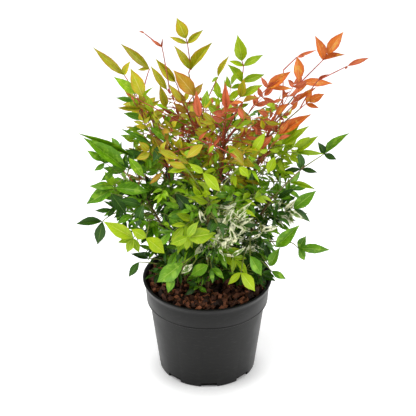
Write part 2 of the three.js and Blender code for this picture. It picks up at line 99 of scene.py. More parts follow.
def add(tree, kind, inputs=None, **settings):
    """Adds a node and sets or links its inputs, which are named or numbered.

    An input takes a value, a socket, or a node, which stands for its first output in use.
    """
    node = tree.nodes.new(kind)
    for name, value in settings.items():
        setattr(node, name, value)
    in_use = [socket for socket in node.inputs if socket.enabled]
    for key, value in (inputs or {}).items():
        socket = in_use[key] if isinstance(key, int) else next(s for s in in_use if s.name == key)
        if isinstance(value, bpy.types.Node):
            value = next(s for s in value.outputs if s.enabled)
        if isinstance(value, bpy.types.NodeSocket):
            tree.links.new(value, socket)
        else:
            socket.default_value = value
    return node


def blank_material(name):
    """A material, its tree, and the piece's own coordinates, which every finish here follows."""
    material = bpy.data.materials.new(name)
    material.use_nodes = True
    tree = material.node_tree
    tree.nodes.clear()
    return material, tree, add(tree, "ShaderNodeTexCoord").outputs["Object"]


def close_material(tree, colour, height, depth, **inputs):
    """Ends a material: its colour, its relief with a depth in millimetres, the shader's values."""
    relief = add(tree, "ShaderNodeBump", {
        "Height": height, "Strength": 1.0, "Distance": depth * MM})
    values = {name.replace("_", " "): value for name, value in inputs.items()}
    shader = add(tree, "ShaderNodeBsdfPrincipled",
                 {"Base Color": colour, "Normal": relief, **values})
    add(tree, "ShaderNodeOutputMaterial", {"Surface": shader})


print("charcoal in linear light:", [round(c, 4) for c in linear("#343432")])

# %% [markdown]
# Every piece ends in the same way: a mesh whose place is in its corners, one material, smooth
# shading up to a chosen angle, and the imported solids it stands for. A mesh that came out inside
# out has a negative volume, which is a simple test, and its faces are then turned round.

# %% Meshes and pieces
def signed_volume(points, faces):
    """Positive where the faces of a closed mesh point outwards."""
    total = 0.0
    for face in faces:
        a = points[face[0]]
        for i in range(1, len(face) - 1):
            total += np.dot(a, np.cross(points[face[i]], points[face[i + 1]]))
    return total / 6


def mesh_of(name, points, faces):
    """A mesh from corners in millimetres, facing outwards."""
    points = np.asarray(points, float)
    if signed_volume(points, faces) < 0:
        faces = [face[::-1] for face in faces]
    mesh = bpy.data.meshes.new(name)
    mesh.from_pydata((points * MM).tolist(), [], faces)
    mesh.update()
    return mesh


def placed(name, data):
    """A new object of that mesh, lamp or camera in the scene."""
    thing = bpy.data.objects.new(name, data)
    bpy.context.scene.collection.objects.link(thing)
    return thing


def shown(name, mesh, material, nodes, crease):
    """Puts a finished mesh in the scene as a piece of the plant."""
    mesh.materials.clear()
    mesh.materials.append(material)
    mesh.shade_smooth()
    mesh.set_sharp_from_angle(angle=math.radians(crease))
    piece = placed(name, mesh)
    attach(piece, "root")
    if nodes:
        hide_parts(*nodes)
    triangles = sum(len(polygon.vertices) - 2 for polygon in mesh.polygons)
    print(f"{name}: {triangles} triangles, stands for {len(nodes)} solids")


# %% [markdown]
# ## Camera, floor and light
# A catalogue shows a plant from a little above, so that the compost and the spread of the crown
# can be judged. A long lens from well back keeps the pot's sides nearly parallel. A short lens
# from close by would frame the same plant, but it would swell the leaflets in front.

# %% Camera
PITCH = math.radians(29.5)       # how far the camera looks down
DISTANCE = 2.4                   # metres from the plant
TARGET = Vector((0.001, 0, 0.2637))
LENS, SENSOR_WIDTH = 144.7, 36
CLIP_END = 50                    # metres; the floor is seen as far as that

camera = placed("camera", bpy.data.cameras.new("camera"))
camera.data.sensor_width, camera.data.lens = SENSOR_WIDTH, LENS
camera.data.clip_end = CLIP_END
camera.location = TARGET + DISTANCE * Vector((0, -math.cos(PITCH), math.sin(PITCH)))
camera.rotation_euler = (math.pi / 2 - PITCH, 0, 0)
scene = bpy.context.scene
scene.camera = camera
scene.view_settings.view_transform = "Standard"
print("camera at", [round(value, 3) for value in camera.location])

# %% [markdown]
# The plant stands on matt white paper under three large softboxes, so no shadow is hard and the
# floor runs into the background. Paper under plain light comes out grey, and more light would
# bleach the leaflets, so the paper glows a little instead: painted light. Round the pot the glow
# fades out, a painted shadow, and under the pot the paper is painted nearly black, a painted
# shade.

# %% Floor and softboxes
AIM = Vector((0, 0, 0.25))       # the middle of the plant
SKY_STRENGTH = 0.35
FLOOR_SIZE = 60
SHADE_CENTRE = (0, -0.026, 0)    # the painted shadow, where the glow fades out, lies round this point
SHADE_INNER, SHADE_OUTER = 0.044, 0.105     # metres from there to full painted shadow and to none
# painted light: the paper glows this strongly outside its painted shadow
FLOOR_GLOW = 0.45
DARK_RADIUS, PALE_RADIUS = 0.0625, 0.0635   # under the pot the paper is painted as good as black: painted shade


def softbox(name, place, size, power):
    """A square area light that faces the plant."""
    lamp = bpy.data.lights.new(name, "AREA")
    lamp.size, lamp.energy = size, power
    box = placed(name, lamp)
    box.location = place
    box.rotation_euler = (Vector(place) - AIM).to_track_quat("Z", "Y").to_euler()


softbox("softbox_above", (-0.15, -0.4, 2.1), 1.7, 28)
softbox("softbox_left", (-1.75, -0.45, 0.9), 1.3, 17)
softbox("softbox_right", (1.75, -0.45, 0.8), 1.3, 18)

scene.world = bpy.data.worlds.new("white_studio")
scene.world.use_nodes = True
sky = scene.world.node_tree.nodes["Background"]
sky.inputs["Color"].default_value = (1, 1, 1, 1)
sky.inputs["Strength"].default_value = SKY_STRENGTH

half = FLOOR_SIZE / 2
floor_mesh = bpy.data.meshes.new("floor")
floor_mesh.from_pydata([(-half, -half, 0), (half, -half, 0), (half, half, 0), (-half, half, 0)],
                       [], [(0, 1, 2, 3)])
floor = placed("floor", floor_mesh)
paper, tree, place = blank_material("white_paper_with_painted_glow_and_shade")
grain = add(tree, "ShaderNodeTexNoise", {"Vector": place, "Scale": 40.0})
from_shade = add(tree, "ShaderNodeVectorMath", {0: place, 1: SHADE_CENTRE}, operation="DISTANCE")
# painted light and painted shadow: the paper's glow, which fades out round the pot's foot
painted_glow_and_shadow = add(tree, "ShaderNodeMapRange", {
    "Value": from_shade.outputs["Value"], "From Min": SHADE_INNER, "From Max": SHADE_OUTER,
    "To Min": 0.0, "To Max": FLOOR_GLOW}, interpolation_type="SMOOTHSTEP")
from_axis = add(tree, "ShaderNodeVectorMath", {0: place}, operation="LENGTH")
# painted shade: the paper is nearly black under the pot, and this shows through the notches
painted_shade_under_pot = add(tree, "ShaderNodeMapRange", {
    "Value": from_axis.outputs["Value"], "From Min": DARK_RADIUS, "From Max": PALE_RADIUS})
tone = add(tree, "ShaderNodeMix", {
    "Factor": painted_shade_under_pot, "A": linear("#0c0c0c"), "B": linear("#fbfbfb")}, data_type="RGBA")
close_material(tree, tone, grain, 0.02, Roughness=0.9,
               Emission_Color=(1, 1, 1, 1), Emission_Strength=painted_glow_and_shadow)
floor_mesh.materials.append(paper)
print("floor", FLOOR_SIZE, "m across")

# %% [markdown]
# ## The pot
# The real pot is blown or moulded from thin recycled polypropylene: a tapering body, a plain band
# under a rolled lip, and drain notches round its foot. A turned shape needs only its profile, so
# the corners of the profile are listed with the rounding the mould gives each, and spun.

# %% Pot profile
POT_HEIGHT = 150
LIP_RADIUS, LIP_HEIGHT = 95, 4.5
BAND_TOP_RADIUS, BAND_FOOT_RADIUS, BAND_FOOT = 91.4, 89.4, 113
BODY_TOP_RADIUS, FOOT_RADIUS = 85, 71
WALL, FLOOR_THICKNESS = 3.2, 2
GROOVE = 0.5                     # depth of the line over the band's foot
POT_SIDES = 160


def rounded(corners, steps=5):
    """A profile whose corners, given as (radius, height, rounding), are eased by short curves."""
    profile = []
    for i, (r, z, rounding) in enumerate(corners):
        here = np.array([r, z], float)
        if not rounding:
            profile.append(here)
            continue
        before = np.array(corners[i - 1][:2], float) - here
        after = np.array(corners[i + 1][:2], float) - here
        start = here + before / np.linalg.norm(before) * rounding
        end = here + after / np.linalg.norm(after) * rounding
        for step in range(steps + 1):
            t = step / steps
            profile.append((1 - t) ** 2 * start + 2 * t * (1 - t) * here + t ** 2 * end)
    return np.array(profile)


def spun(profile, sides):
    """Corners and faces of a profile turned about Z; its two ends lie on the axis."""
    angles = np.arange(sides) * 2 * math.pi / sides
    rings = [[(r * math.cos(a), r * math.sin(a), z) for a in angles] for r, z in profile[1:-1]]
    points = [p for ring in rings for p in ring]
    points += [(0, 0, profile[0][1]), (0, 0, profile[-1][1])]
    faces = []
    last = (len(rings) - 1) * sides
    for side in range(sides):
        after = (side + 1) % sides
        for ring in range(len(rings) - 1):
            a, b = ring * sides, (ring + 1) * sides
            faces.append((a + side, a + after, b + after, b + side))
        faces.append((len(points) - 2, after, side))
        faces.append((len(points) - 1, last + side, last + after))
    return points, faces


pot_corners = [                  # radius, height, rounding
    (0, 0, 0), (FOOT_RADIUS, 0, 2.4), (BODY_TOP_RADIUS, BAND_FOOT - 1.5, 0.7),
    (BAND_FOOT_RADIUS - 0.3, BAND_FOOT, 0.8), (BAND_FOOT_RADIUS, BAND_FOOT + 2, 0),
    (BAND_FOOT_RADIUS - GROOVE, BAND_FOOT + 2.7, 0.3), (BAND_FOOT_RADIUS, BAND_FOOT + 3.5, 0),
    (BAND_TOP_RADIUS, POT_HEIGHT - 2 * LIP_HEIGHT, 3),
    (LIP_RADIUS - 0.8, POT_HEIGHT - 0.8 * LIP_HEIGHT, 1.4), (LIP_RADIUS, POT_HEIGHT - 0.6, 1.2),
    (LIP_RADIUS - 3.4, POT_HEIGHT, 1.2), (BAND_TOP_RADIUS - WALL, POT_HEIGHT - LIP_HEIGHT, 2),
    (BAND_FOOT_RADIUS - WALL, BAND_FOOT + 3, 1), (BODY_TOP_RADIUS - WALL, BAND_FOOT, 1),
    (FOOT_RADIUS - WALL, FLOOR_THICKNESS, 2), (0, FLOOR_THICKNESS, 0),
]
pot_profile = rounded(pot_corners)
pot_body = placed("pot_blank", mesh_of("pot_blank", *spun(pot_profile, POT_SIDES)))
print("pot profile of", len(pot_profile), "points")

# %% [markdown]
# The notches are cut with a Boolean modifier. One cutter mesh holds all eight blocks, so a single
# modifier does the work, and the evaluated result is taken as a plain mesh.

# %% Drain notches
NOTCHES, NOTCH_FIRST = 8, math.radians(-88)
NOTCH_WIDTH, NOTCH_HEIGHT, NOTCH_DEPTH = 24, 7, 5
NOTCH_EASE, BELOW_FOOT = 0.8, 4  # the upper corners, and how far the cutters reach below the pot


def notch_blocks():
    """Corners and faces of the eight blocks, each with its upper corners eased."""
    half, top = NOTCH_WIDTH / 2, NOTCH_HEIGHT
    outline = [(-half, -BELOW_FOOT), (half, -BELOW_FOOT), (half, top - NOTCH_EASE),
               (half - NOTCH_EASE, top), (-half + NOTCH_EASE, top), (-half, top - NOTCH_EASE)]
    points, faces = [], []
    for i in range(NOTCHES):
        bearing = NOTCH_FIRST + i * 2 * math.pi / NOTCHES
        out = np.array([math.cos(bearing), math.sin(bearing), 0])
        across = np.array([-out[1], out[0], 0])
        first = len(points)
        for radius in (FOOT_RADIUS - NOTCH_DEPTH, FOOT_RADIUS + NOTCH_DEPTH):
            points += [out * radius + across * y + np.array([0, 0, z]) for y, z in outline]
        n = len(outline)
        faces.append([first + k for k in range(n)][::-1])
        faces.append([first + n + k for k in range(n)])
        faces += [[first + k, first + (k + 1) % n, first + n + (k + 1) % n, first + n + k]
                  for k in range(n)]
    return points, faces


def applied(source):
    """The evaluated mesh of an object, which is then removed with its modifiers."""
    graph = bpy.context.evaluated_depsgraph_get()
    mesh = bpy.data.meshes.new_from_object(source.evaluated_get(graph))
    bpy.data.objects.remove(source)
    return mesh


cutter = placed("notch_cutter", mesh_of("notch_cutter", *notch_blocks()))
cut = pot_body.modifiers.new("drain_notches", "BOOLEAN")
cut.operation, cut.solver, cut.object = "DIFFERENCE", "EXACT", cutter
pot_mesh = applied(pot_body)
bpy.data.objects.remove(cutter)
print("pot with notches:", len(pot_mesh.polygons), "faces")

# %% [markdown]
# Moulded polypropylene with carbon black is a very dark grey with a satin gloss. The mould was
# blasted, which leaves a grain of a few tenths of a millimetre that blurs its reflections. It is
# drawn coarser, at 1.2 mm, so that it shows from close by. Handling leaves faint paler scuffs that
# run round the pot. Both are noise on the pot's own coordinates.

# %% Moulded polypropylene
plastic, tree, place = blank_material("moulded_polypropylene")
grain = add(tree, "ShaderNodeTexNoise", {"Vector": place, "Scale": 1 / (1.2 * MM), "Detail": 2.0})
clouds = add(tree, "ShaderNodeTexNoise", {"Vector": place, "Scale": 1 / (35 * MM), "Detail": 4.0})
drawn = add(tree, "ShaderNodeMapping", {"Vector": place, "Scale": (90.0, 90.0, 900.0)})
scuffs = add(tree, "ShaderNodeTexNoise", {"Vector": drawn, "Scale": 1.0, "Detail": 3.0})
scuffed = add(tree, "ShaderNodeMapRange", {
    "Value": scuffs, "From Min": 0.56, "From Max": 0.8, "To Min": 0.0, "To Max": 0.35})
shaded = add(tree, "ShaderNodeMix", {
    "Factor": clouds, "A": linear("#0c0c0c"), "B": linear("#171716")}, data_type="RGBA")
colour = add(tree, "ShaderNodeMix", {
    "Factor": scuffed, "A": shaded, "B": linear("#403f3d")}, data_type="RGBA")
gloss = add(tree, "ShaderNodeMapRange", {
    "Value": clouds, "From Min": 0.3, "From Max": 0.7, "To Min": 0.34, "To Max": 0.44})
close_material(tree, colour, grain, 0.05, Roughness=gloss, IOR=1.49, Specular_IOR_Level=0.2)
shown("pot_shell", pot_mesh, plastic, ["pot"], crease=30)

# %% [markdown]
# ## The compost
# Fine peat fills the pot to just under the lip, mulched with pine bark. Moist peat is nearly
# black and has no gloss, and its crumbs are two to three millimetres across. The filling is spun
# like the pot, a little smaller, with many rings on its top so that noise can make it uneven.

# %% Peat filling
COMPOST_TOP = POT_HEIGHT - 9
INNER = 87.0                     # radius of the compost's top
TOP_RINGS, PEAT_SIDES = 26, 96


def uneven(x, y):
    """Height of the peat above its mean level, in millimetres."""
    coarse = noise.noise(Vector((x / 17, y / 17, 3.1)))
    return 2.6 * coarse + 1.2 * noise.noise(Vector((x / 6, y / 6, 7.7)))


side_profile = [(0, 2.3), (67, 2.3), (81.2, 113.5), (85.2, 119), (INNER, COMPOST_TOP - 1.5)]
top_profile = [(INNER * (1 - i / TOP_RINGS), COMPOST_TOP) for i in range(1, TOP_RINGS + 1)]
peat_points, peat_faces = spun(np.array(side_profile + top_profile), PEAT_SIDES)
peat_points = [(x, y, z + uneven(x, y)) if z > COMPOST_TOP - 0.5 else (x, y, z)
               for x, y, z in peat_points]
peat, tree, place = blank_material("dark_peat")
fibres = add(tree, "ShaderNodeTexNoise", {"Vector": place, "Scale": 1 / (2.5 * MM), "Detail": 6.0})
colour = add(tree, "ShaderNodeMix", {
    "Factor": fibres, "A": linear("#040201"), "B": linear("#1a0c06")}, data_type="RGBA")
close_material(tree, colour, fibres, 1.5, Roughness=0.95, Specular_IOR_Level=0.1)
shown("peat_filling", mesh_of("peat_filling", peat_points, peat_faces), peat,
      ["compost"], crease=60)

# %% [markdown]
# Bark chips repeat by the hundred, so Geometry Nodes strew them. Points are dealt over a disc,
# each gets a block of a random length, width and tilt, and after the blocks are made real a noise
# pushes their corners about, so that no two chips are alike. Their shade is dealt out as well.

# %% Geometry nodes that strew bark
def group_with(name, sockets):
    """A geometry node tree with these named inputs, its group input node and its identifiers."""
    tree = bpy.data.node_groups.new(name, "GeometryNodeTree")
    tree.interface.new_socket("Geometry", in_out="OUTPUT", socket_type="NodeSocketGeometry")
    tree.interface.new_socket("Geometry", in_out="INPUT", socket_type="NodeSocketGeometry")
    identifiers = {}
    for label, kind in sockets.items():
        made = tree.interface.new_socket(label, in_out="INPUT", socket_type="NodeSocket" + kind)
        identifiers[label] = made.identifier
    return tree, add(tree, "NodeGroupInput"), identifiers


def run_nodes(source, tree, identifiers, values):
    """Runs a geometry node tree on an object and returns the plain mesh it makes."""
    modifier = source.modifiers.new("nodes", "NODES")
    modifier.node_group = tree
    for label, value in values.items():
        modifier[identifiers[label]] = value
    return applied(source)


bark_tree, given, bark_inputs = group_with("strewn_bark", {
    "Density": "Float", "Length": "Float", "Width": "Float", "Thickness": "Float",
    "Splintering": "Float", "Layer Depth": "Float", "Seed": "Int", "Finish": "Material"})
given = given.outputs
points = add(bark_tree, "GeometryNodeDistributePointsOnFaces", {
    "Mesh": given["Geometry"], "Density": given["Density"], "Seed": given["Seed"]})
height = add(bark_tree, "FunctionNodeRandomValue", {
    "Min": 0.0, "Max": given["Layer Depth"], "Seed": 3})
lift = add(bark_tree, "ShaderNodeCombineXYZ", {"Z": height})
layered = add(bark_tree, "GeometryNodeSetPosition", {"Geometry": points, "Offset": lift})
block = add(bark_tree, "GeometryNodeMeshCube", {
    "Size": (1, 1, 1), "Vertices X": 3, "Vertices Y": 3, "Vertices Z": 2})
tilt = add(bark_tree, "FunctionNodeRandomValue", {
    "Min": (-1.2, -1.2, 0), "Max": (1.2, 1.2, 6.28), "Seed": 5}, data_type="FLOAT_VECTOR")
share = add(bark_tree, "FunctionNodeRandomValue", {
    "Min": (0.4, 0.5, 0.5), "Max": (1.7, 1.5, 1.5), "Seed": 7}, data_type="FLOAT_VECTOR")
mean_size = add(bark_tree, "ShaderNodeCombineXYZ", {
    "X": given["Length"], "Y": given["Width"], "Z": given["Thickness"]})
size = add(bark_tree, "ShaderNodeVectorMath", {0: mean_size, 1: share}, operation="MULTIPLY")
strewn = add(bark_tree, "GeometryNodeInstanceOnPoints", {
    "Points": layered, "Instance": block, "Rotation": tilt, "Scale": size})
dealt = add(bark_tree, "FunctionNodeRandomValue", {"Min": 0.0, "Max": 1.0, "Seed": 9})
shaded = add(bark_tree, "GeometryNodeStoreNamedAttribute", {
    "Geometry": strewn, "Name": "shade", "Value": dealt}, data_type="FLOAT", domain="INSTANCE")
real = add(bark_tree, "GeometryNodeRealizeInstances", {"Geometry": shaded})
wander = add(bark_tree, "ShaderNodeTexNoise", {"Scale": 1 / (2.6 * MM), "Detail": 1.0})
centred = add(bark_tree, "ShaderNodeVectorMath", {
    0: wander.outputs["Color"], 1: (0.5, 0.5, 0.5)}, operation="SUBTRACT")
push = add(bark_tree, "ShaderNodeVectorMath", {
    0: centred, "Scale": given["Splintering"]}, operation="SCALE")
broken = add(bark_tree, "GeometryNodeSetPosition", {"Geometry": real, "Offset": push})
clad = add(bark_tree, "GeometryNodeSetMaterial", {"Geometry": broken, "Material": given["Finish"]})
add(bark_tree, "NodeGroupOutput", {"Geometry": clad})
print("bark tree of", len(bark_tree.nodes), "nodes")

# %% [markdown]
# Pine bark is red-brown, with a paler cork side and nearly black gaps. Each chip has its own
# shade, and streaks of one to two millimetres run through it.

# %% Bark chips
bark, tree, place = blank_material("pine_bark")
own = add(tree, "ShaderNodeAttribute", attribute_name="shade")
streaks = add(tree, "ShaderNodeTexNoise", {
    "Vector": place, "Scale": 1 / (1.6 * MM), "Detail": 4.0})
few_pale = add(tree, "ShaderNodeMath", {0: own.outputs["Fac"], 1: 2.0}, operation="POWER")
tone = add(tree, "ShaderNodeMix", {
    "Factor": few_pale, "A": linear("#220e06"), "B": linear("#a86440")}, data_type="RGBA")
depth = add(tree, "ShaderNodeMapRange", {
    "Value": streaks, "From Min": 0.35, "From Max": 0.62, "To Min": 0.55, "To Max": 0.0})
colour = add(tree, "ShaderNodeMix", {
    "Factor": depth, "A": tone, "B": linear("#120702")}, data_type="RGBA")
close_material(tree, colour, streaks, 0.4, Roughness=0.7, Specular_IOR_Level=0.3)

CHIP_ROOM = 87.2                 # chips stay inside this radius
BED_RADIUS, BED_SIDES = 85, 60   # the disc over which they are dealt
BED_HEIGHT = COMPOST_TOP + 1.5

bed_angles = [math.radians(360 / BED_SIDES * i) for i in range(BED_SIDES)]
bed_points = [(BED_RADIUS * math.cos(a), BED_RADIUS * math.sin(a), BED_HEIGHT)
              for a in bed_angles]
bed_mesh = bpy.data.meshes.new("bark_bed")
bed_mesh.from_pydata((np.array(bed_points) * MM).tolist(), [], [list(range(BED_SIDES))])
bed = placed("bark_bed", bed_mesh)
chips = run_nodes(bed, bark_tree, bark_inputs, {
    "Density": 34000.0, "Length": 0.0088, "Width": 0.005, "Thickness": 0.004,
    "Splintering": 0.0024, "Layer Depth": 0.0055, "Seed": 4, "Finish": bark})
corners = np.empty(len(chips.vertices) * 3, np.float32)
chips.vertices.foreach_get("co", corners)
corners = corners.reshape(-1, 3)
reach = np.hypot(corners[:, 0], corners[:, 1]) / MM
corners[:, :2] *= np.minimum(1, CHIP_ROOM / reach)[:, None]
chips.vertices.foreach_set("co", corners.ravel())
shown("bark_chips", chips, bark, [], crease=12)

# %% [markdown]
# ## The plan of the plant
# Two tables carry the plan: eight canes, and the sprays that spring from them. They are those of
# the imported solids, but the top gold spray ends 6 mm higher here and two sprays on the left have
# another colour. A spray's stalk is a curve of three points, and its tip is the outline of the
# crown, so what is grown finer here fills the space that the solids hold.

# %% Canes and sprays
CANES = {                        # foot x, y; tip x, y, z; radius above the flare
    "back": ((-6, 20), (-16, 42, 402), 3.1),
    "middle": ((6, 2), (26, 2, 398), 3.4),
    "right": ((24, 8), (92, 14, 396), 3.0),
    "left": ((-23, 6), (-78, 16, 404), 3.2),
    "low_left": ((-26, -14), (-88, -32, 300), 2.7),
    "low_right": ((27, -13), (92, -24, 296), 2.7),
    "front": ((0, -26), (2, -82, 322), 2.9),
    "rear": ((10, 27), (20, 92, 330), 2.8),
}
CANE_BOW = 0.35                  # a cane's bend is this share of its way out, at half height
CANE_SUNK = 4                    # a cane starts this deep in the compost

# name, cane, share of the cane, tip x, y, z, rise, bare share, pairs, leaflet length, colour
SPRAYS = [
    ("top_gold", "back", 0.97, -42, 88, 523, 6, 0.4, 1, 42, "gold"),
    ("top_lime", "middle", 0.96, 38, 72, 495, 4, 0, 2, 40, "lime"),
    ("top_olive_left", "left", 0.97, -157, 20, 507, 8, 0, 1, 52, "olive"),
    ("top_olive_back", "left", 0.9, -122, 98, 474, 12, 0, 2, 50, "olive"),
    ("top_gold_left", "left", 0.83, -104, -30, 497, 10, 0, 2, 42, "gold"),
    ("top_gold_middle", "back", 0.88, -73, 98, 454, 10, 0, 2, 44, "gold"),
    ("top_bronze", "back", 0.78, -43, -40, 500, 8, 0, 2, 42, "bronze"),
    ("red_shoot", "back", 0.69, -92, 28, 526, 14, 0, 1, 14, "coral"),
    ("orange_high", "right", 0.97, 189, 30, 529, -2, 0.4, 2, 48, "orange"),
    ("orange_far", "right", 0.89, 219, 0, 501, 10, 0.34, 2, 38, "orange"),
    ("orange_arch", "right", 0.8, 148, -22, 520, 24, 0, 1, 38, "coral"),
    ("coral_right", "middle", 0.87, 110, -60, 506, 14, 0, 2, 40, "coral"),
    ("coral_middle", "middle", 0.79, 24, -76, 470, 18, 0, 2, 38, "coral"),
    ("left_fresh", "left", 0.76, -126, -24, 478, 12, 0, 2, 42, "fresh"),
    ("left_bronze", "left", 0.68, -128, 4, 423, 14, 0, 2, 46, "gold"),
    ("left_big_green", "low_left", 0.96, -176, -12, 388, 22, 0, 2, 62, "green"),
    ("right_orange_green", "right", 0.72, 140, -24, 424, 14, 0, 2, 48, "lime"),
    ("right_lime", "right", 0.63, 156, 4, 380, 16, 0, 3, 46, "lime"),
    ("right_dark", "low_right", 0.95, 198, 12, 383, 10, 0.45, 1, 40, "dark"),
    ("front_lime", "front", 0.96, -12, -128, 372, 18, 0, 3, 50, "lime"),
    ("front_gold_right", "middle", 0.7, 72, -86, 404, 18, 0, 2, 46, "gold"),
    ("front_gold_left", "left", 0.58, -62, -84, 410, 18, 0, 2, 46, "gold"),
    ("left_green", "low_left", 0.88, -170, -42, 293, 28, 0, 3, 48, "green"),
    ("left_dark_far", "low_left", 0.79, -184, -44, 264, 26, 0.45, 1, 44, "dark"),
    ("left_lime_front", "low_left", 0.7, -134, -112, 300, 30, 0, 2, 48, "green"),
    ("inner_left", "left", 0.46, -84, -66, 338, 24, 0, 3, 50, "green"),
    ("left_dark_low", "low_left", 0.5, -113, -32, 168, 30, 0, 1, 36, "dark"),
    ("inner_right", "right", 0.46, 86, -72, 334, 24, 0, 3, 48, "green"),
    ("right_green", "low_right", 0.88, 155, 2, 295, 26, 0, 3, 48, "green"),
    ("right_cream", "low_right", 0.78, 147, -62, 277, 26, 0, 3, 46, "cream"),
    ("right_triple", "low_right", 0.5, 178, -22, 206, 14, 0.5, 1, 36, "green"),
    ("right_low", "low_right", 0.6, 112, -34, 170, 34, 0, 2, 42, "green"),
    ("front_cream", "front", 0.86, 56, -134, 300, 26, 0, 3, 46, "cream"),
    ("front_cream_low", "front", 0.72, 18, -118, 236, 34, 0, 3, 42, "cream"),
    ("front_lime_low", "front", 0.5, 69, -90, 184, 34, 0, 2, 48, "lime"),
    ("front_green_low", "front", 0.6, -74, -82, 190, 38, 0, 3, 52, "green"),
    ("front_lime_left", "front", 0.8, -58, -128, 268, 34, 0, 3, 46, "lime"),
    ("back_left_low", "rear", 0.5, -98, 94, 208, 36, 0, 3, 52, "green"),
    ("back_left", "rear", 0.84, -84, 132, 372, 26, 0, 3, 52, "fresh"),
    ("back_low", "rear", 0.42, 10, 128, 194, 36, 0, 3, 52, "dark"),
    ("back_inner", "back", 0.52, -8, 122, 326, 26, 0, 3, 52, "green"),
    ("back_middle", "rear", 0.97, 24, 134, 420, 18, 0, 3, 50, "lime"),
    ("back_right_low", "rear", 0.6, 110, 88, 210, 36, 0, 3, 52, "dark"),
    ("back_right", "rear", 0.91, 118, 96, 380, 26, 0, 2, 50, "green"),
]


class Bow:
    """A curve of three points in millimetres."""

    def __init__(self, start, bend, tip):
        self.points = [Vector(start), Vector(bend), Vector(tip)]

    def at(self, t):
        a, b, c = self.points
        return a * (1 - t) ** 2 + b * (2 * t * (1 - t)) + c * t ** 2

    def along(self, t):
        a, b, c = self.points
        return ((b - a) * (1 - t) + (c - b) * t).normalized()

    def length(self):
        a, b, c = self.points
        return (b - a).length + (c - b).length


cane_bows = {}
for name, (foot, tip, radius) in CANES.items():
    base, top = Vector((*foot, COMPOST_TOP - CANE_SUNK)), Vector(tip)
    bend = base.lerp(top, CANE_BOW)
    bend.z = (base.z + top.z) / 2
    cane_bows[name] = Bow(base, bend, top)
print(len(CANES), "canes and", len(SPRAYS), "sprays")

# %% [markdown]
# ## Canes, boughs and their bark
# Canes, boughs and twigs are all tubes along a curve. Blender can bevel a curve to a tube, but
# here the radius changes round the tube as well as along it, so the corners are worked out. Each
# ring of corners is turned only as far as the curve turns, which keeps the tube from twisting.

# %% A tube along a curve
def ringed_faces(rings, sides):
    """Faces of a shape of rings of corners, closed by one corner before them and one after."""
    faces, last = [], 1 + (rings - 1) * sides
    for side in range(sides):
        after = (side + 1) % sides
        faces.append((0, 1 + after, 1 + side))
        for ring in range(rings - 1):
            a, b = 1 + ring * sides, 1 + (ring + 1) * sides
            faces.append((a + side, a + after, b + after, b + side))
        faces.append((last + side, last + after, last + sides))
    return faces


def tube(path, radii, sides):
    """Corners and faces of a closed tube.

    There is one radius for each station of the path, or a list of one for each side there.
    """
    path = [Vector(point) for point in path]
    radii = np.asarray(radii, float).reshape(len(path), -1)
    points = [path[0]]
    direction = (path[1] - path[0]).normalized()
    across = direction.orthogonal().normalized()
    for i, centre in enumerate(path):
        ahead = (path[min(i + 1, len(path) - 1)] - path[max(i - 1, 0)]).normalized()
        across = (direction.rotation_difference(ahead) @ across).normalized()
        direction = ahead
        other = direction.cross(across)
        for side in range(sides):
            angle = 2 * math.pi * side / sides
            radius = radii[i][side % radii.shape[1]]
            points.append(centre + (across * math.cos(angle) + other * math.sin(angle)) * radius)
    return points + [path[-1]], ringed_faces(len(path), sides)


class Bundle:
    """Many small shapes gathered into one mesh."""

    def __init__(self):
        self.points, self.faces = [], []

    def take(self, points, faces):
        first = len(self.points)
        self.points += [tuple(point) for point in points]
        self.faces += [tuple(first + corner for corner in face) for face in faces]

    def mesh(self, name):
        return mesh_of(name, self.points, self.faces)


print("faces of a short tube:", len(tube([(0, 0, 0), (0, 0, 9)], [1, 1], 6)[1]))

# %% [markdown]
# The bark of a cane is furrowed lengthwise, and the cane is ringed every few centimetres where
# old fronds fell. Both can be seen against the light, so they are modelled in the tube's radius,
# with noise for the furrows, and not only drawn on it.

# %% Canes with furrows and rings
CANE_TIP_RADIUS = 1.5
RING_SPACING, RING_HEIGHT, RING_WIDTH = 27, 0.55, 1.9    # the scars of old fronds
FURROW_DEPTH, FIBRE_DEPTH = 0.3, 0.12
FLARE, FLARE_HEIGHT = 1.8, 7     # a cane is wider where it leaves the compost
CANE_STATIONS, CANE_SIDES = 110, 14


def cane_radius(height, share, foot_radius, angle, seed):
    """Radius of a cane at a height above the compost, in a direction round it."""
    plain = foot_radius + (CANE_TIP_RADIUS - foot_radius) * share
    flared = FLARE * math.exp(-height / FLARE_HEIGHT)
    from_ring = abs((height + 7 * seed) % RING_SPACING - RING_SPACING / 2)
    ring = RING_HEIGHT * math.exp(-((from_ring / RING_WIDTH) ** 2))
    spot = Vector((1.6 * math.cos(angle), 1.6 * math.sin(angle), height / 22 + seed))
    furrow = FURROW_DEPTH * abs(noise.noise(spot * 1.7)) + FIBRE_DEPTH * noise.noise(spot * 5)
    return plain + flared + ring - furrow


canes = Bundle()
shares = [i / CANE_STATIONS for i in range(CANE_STATIONS + 1)]
angles = [2 * math.pi * side / CANE_SIDES for side in range(CANE_SIDES)]
for seed, (name, bow) in enumerate(cane_bows.items()):
    radii = [[cane_radius(share * bow.length(), share, CANES[name][2], angle, seed)
              for angle in angles] for share in shares]
    canes.take(*tube([bow.at(share) for share in shares], radii, CANE_SIDES))
print("canes:", len(canes.faces), "faces")

# %% [markdown]
# Cane bark is fibrous and grey-brown, darker in its furrows and in patches of a few centimetres.
# Young rind is smooth and takes a little gloss: red where the leaflets are new, green or
# green-brown where they are old.

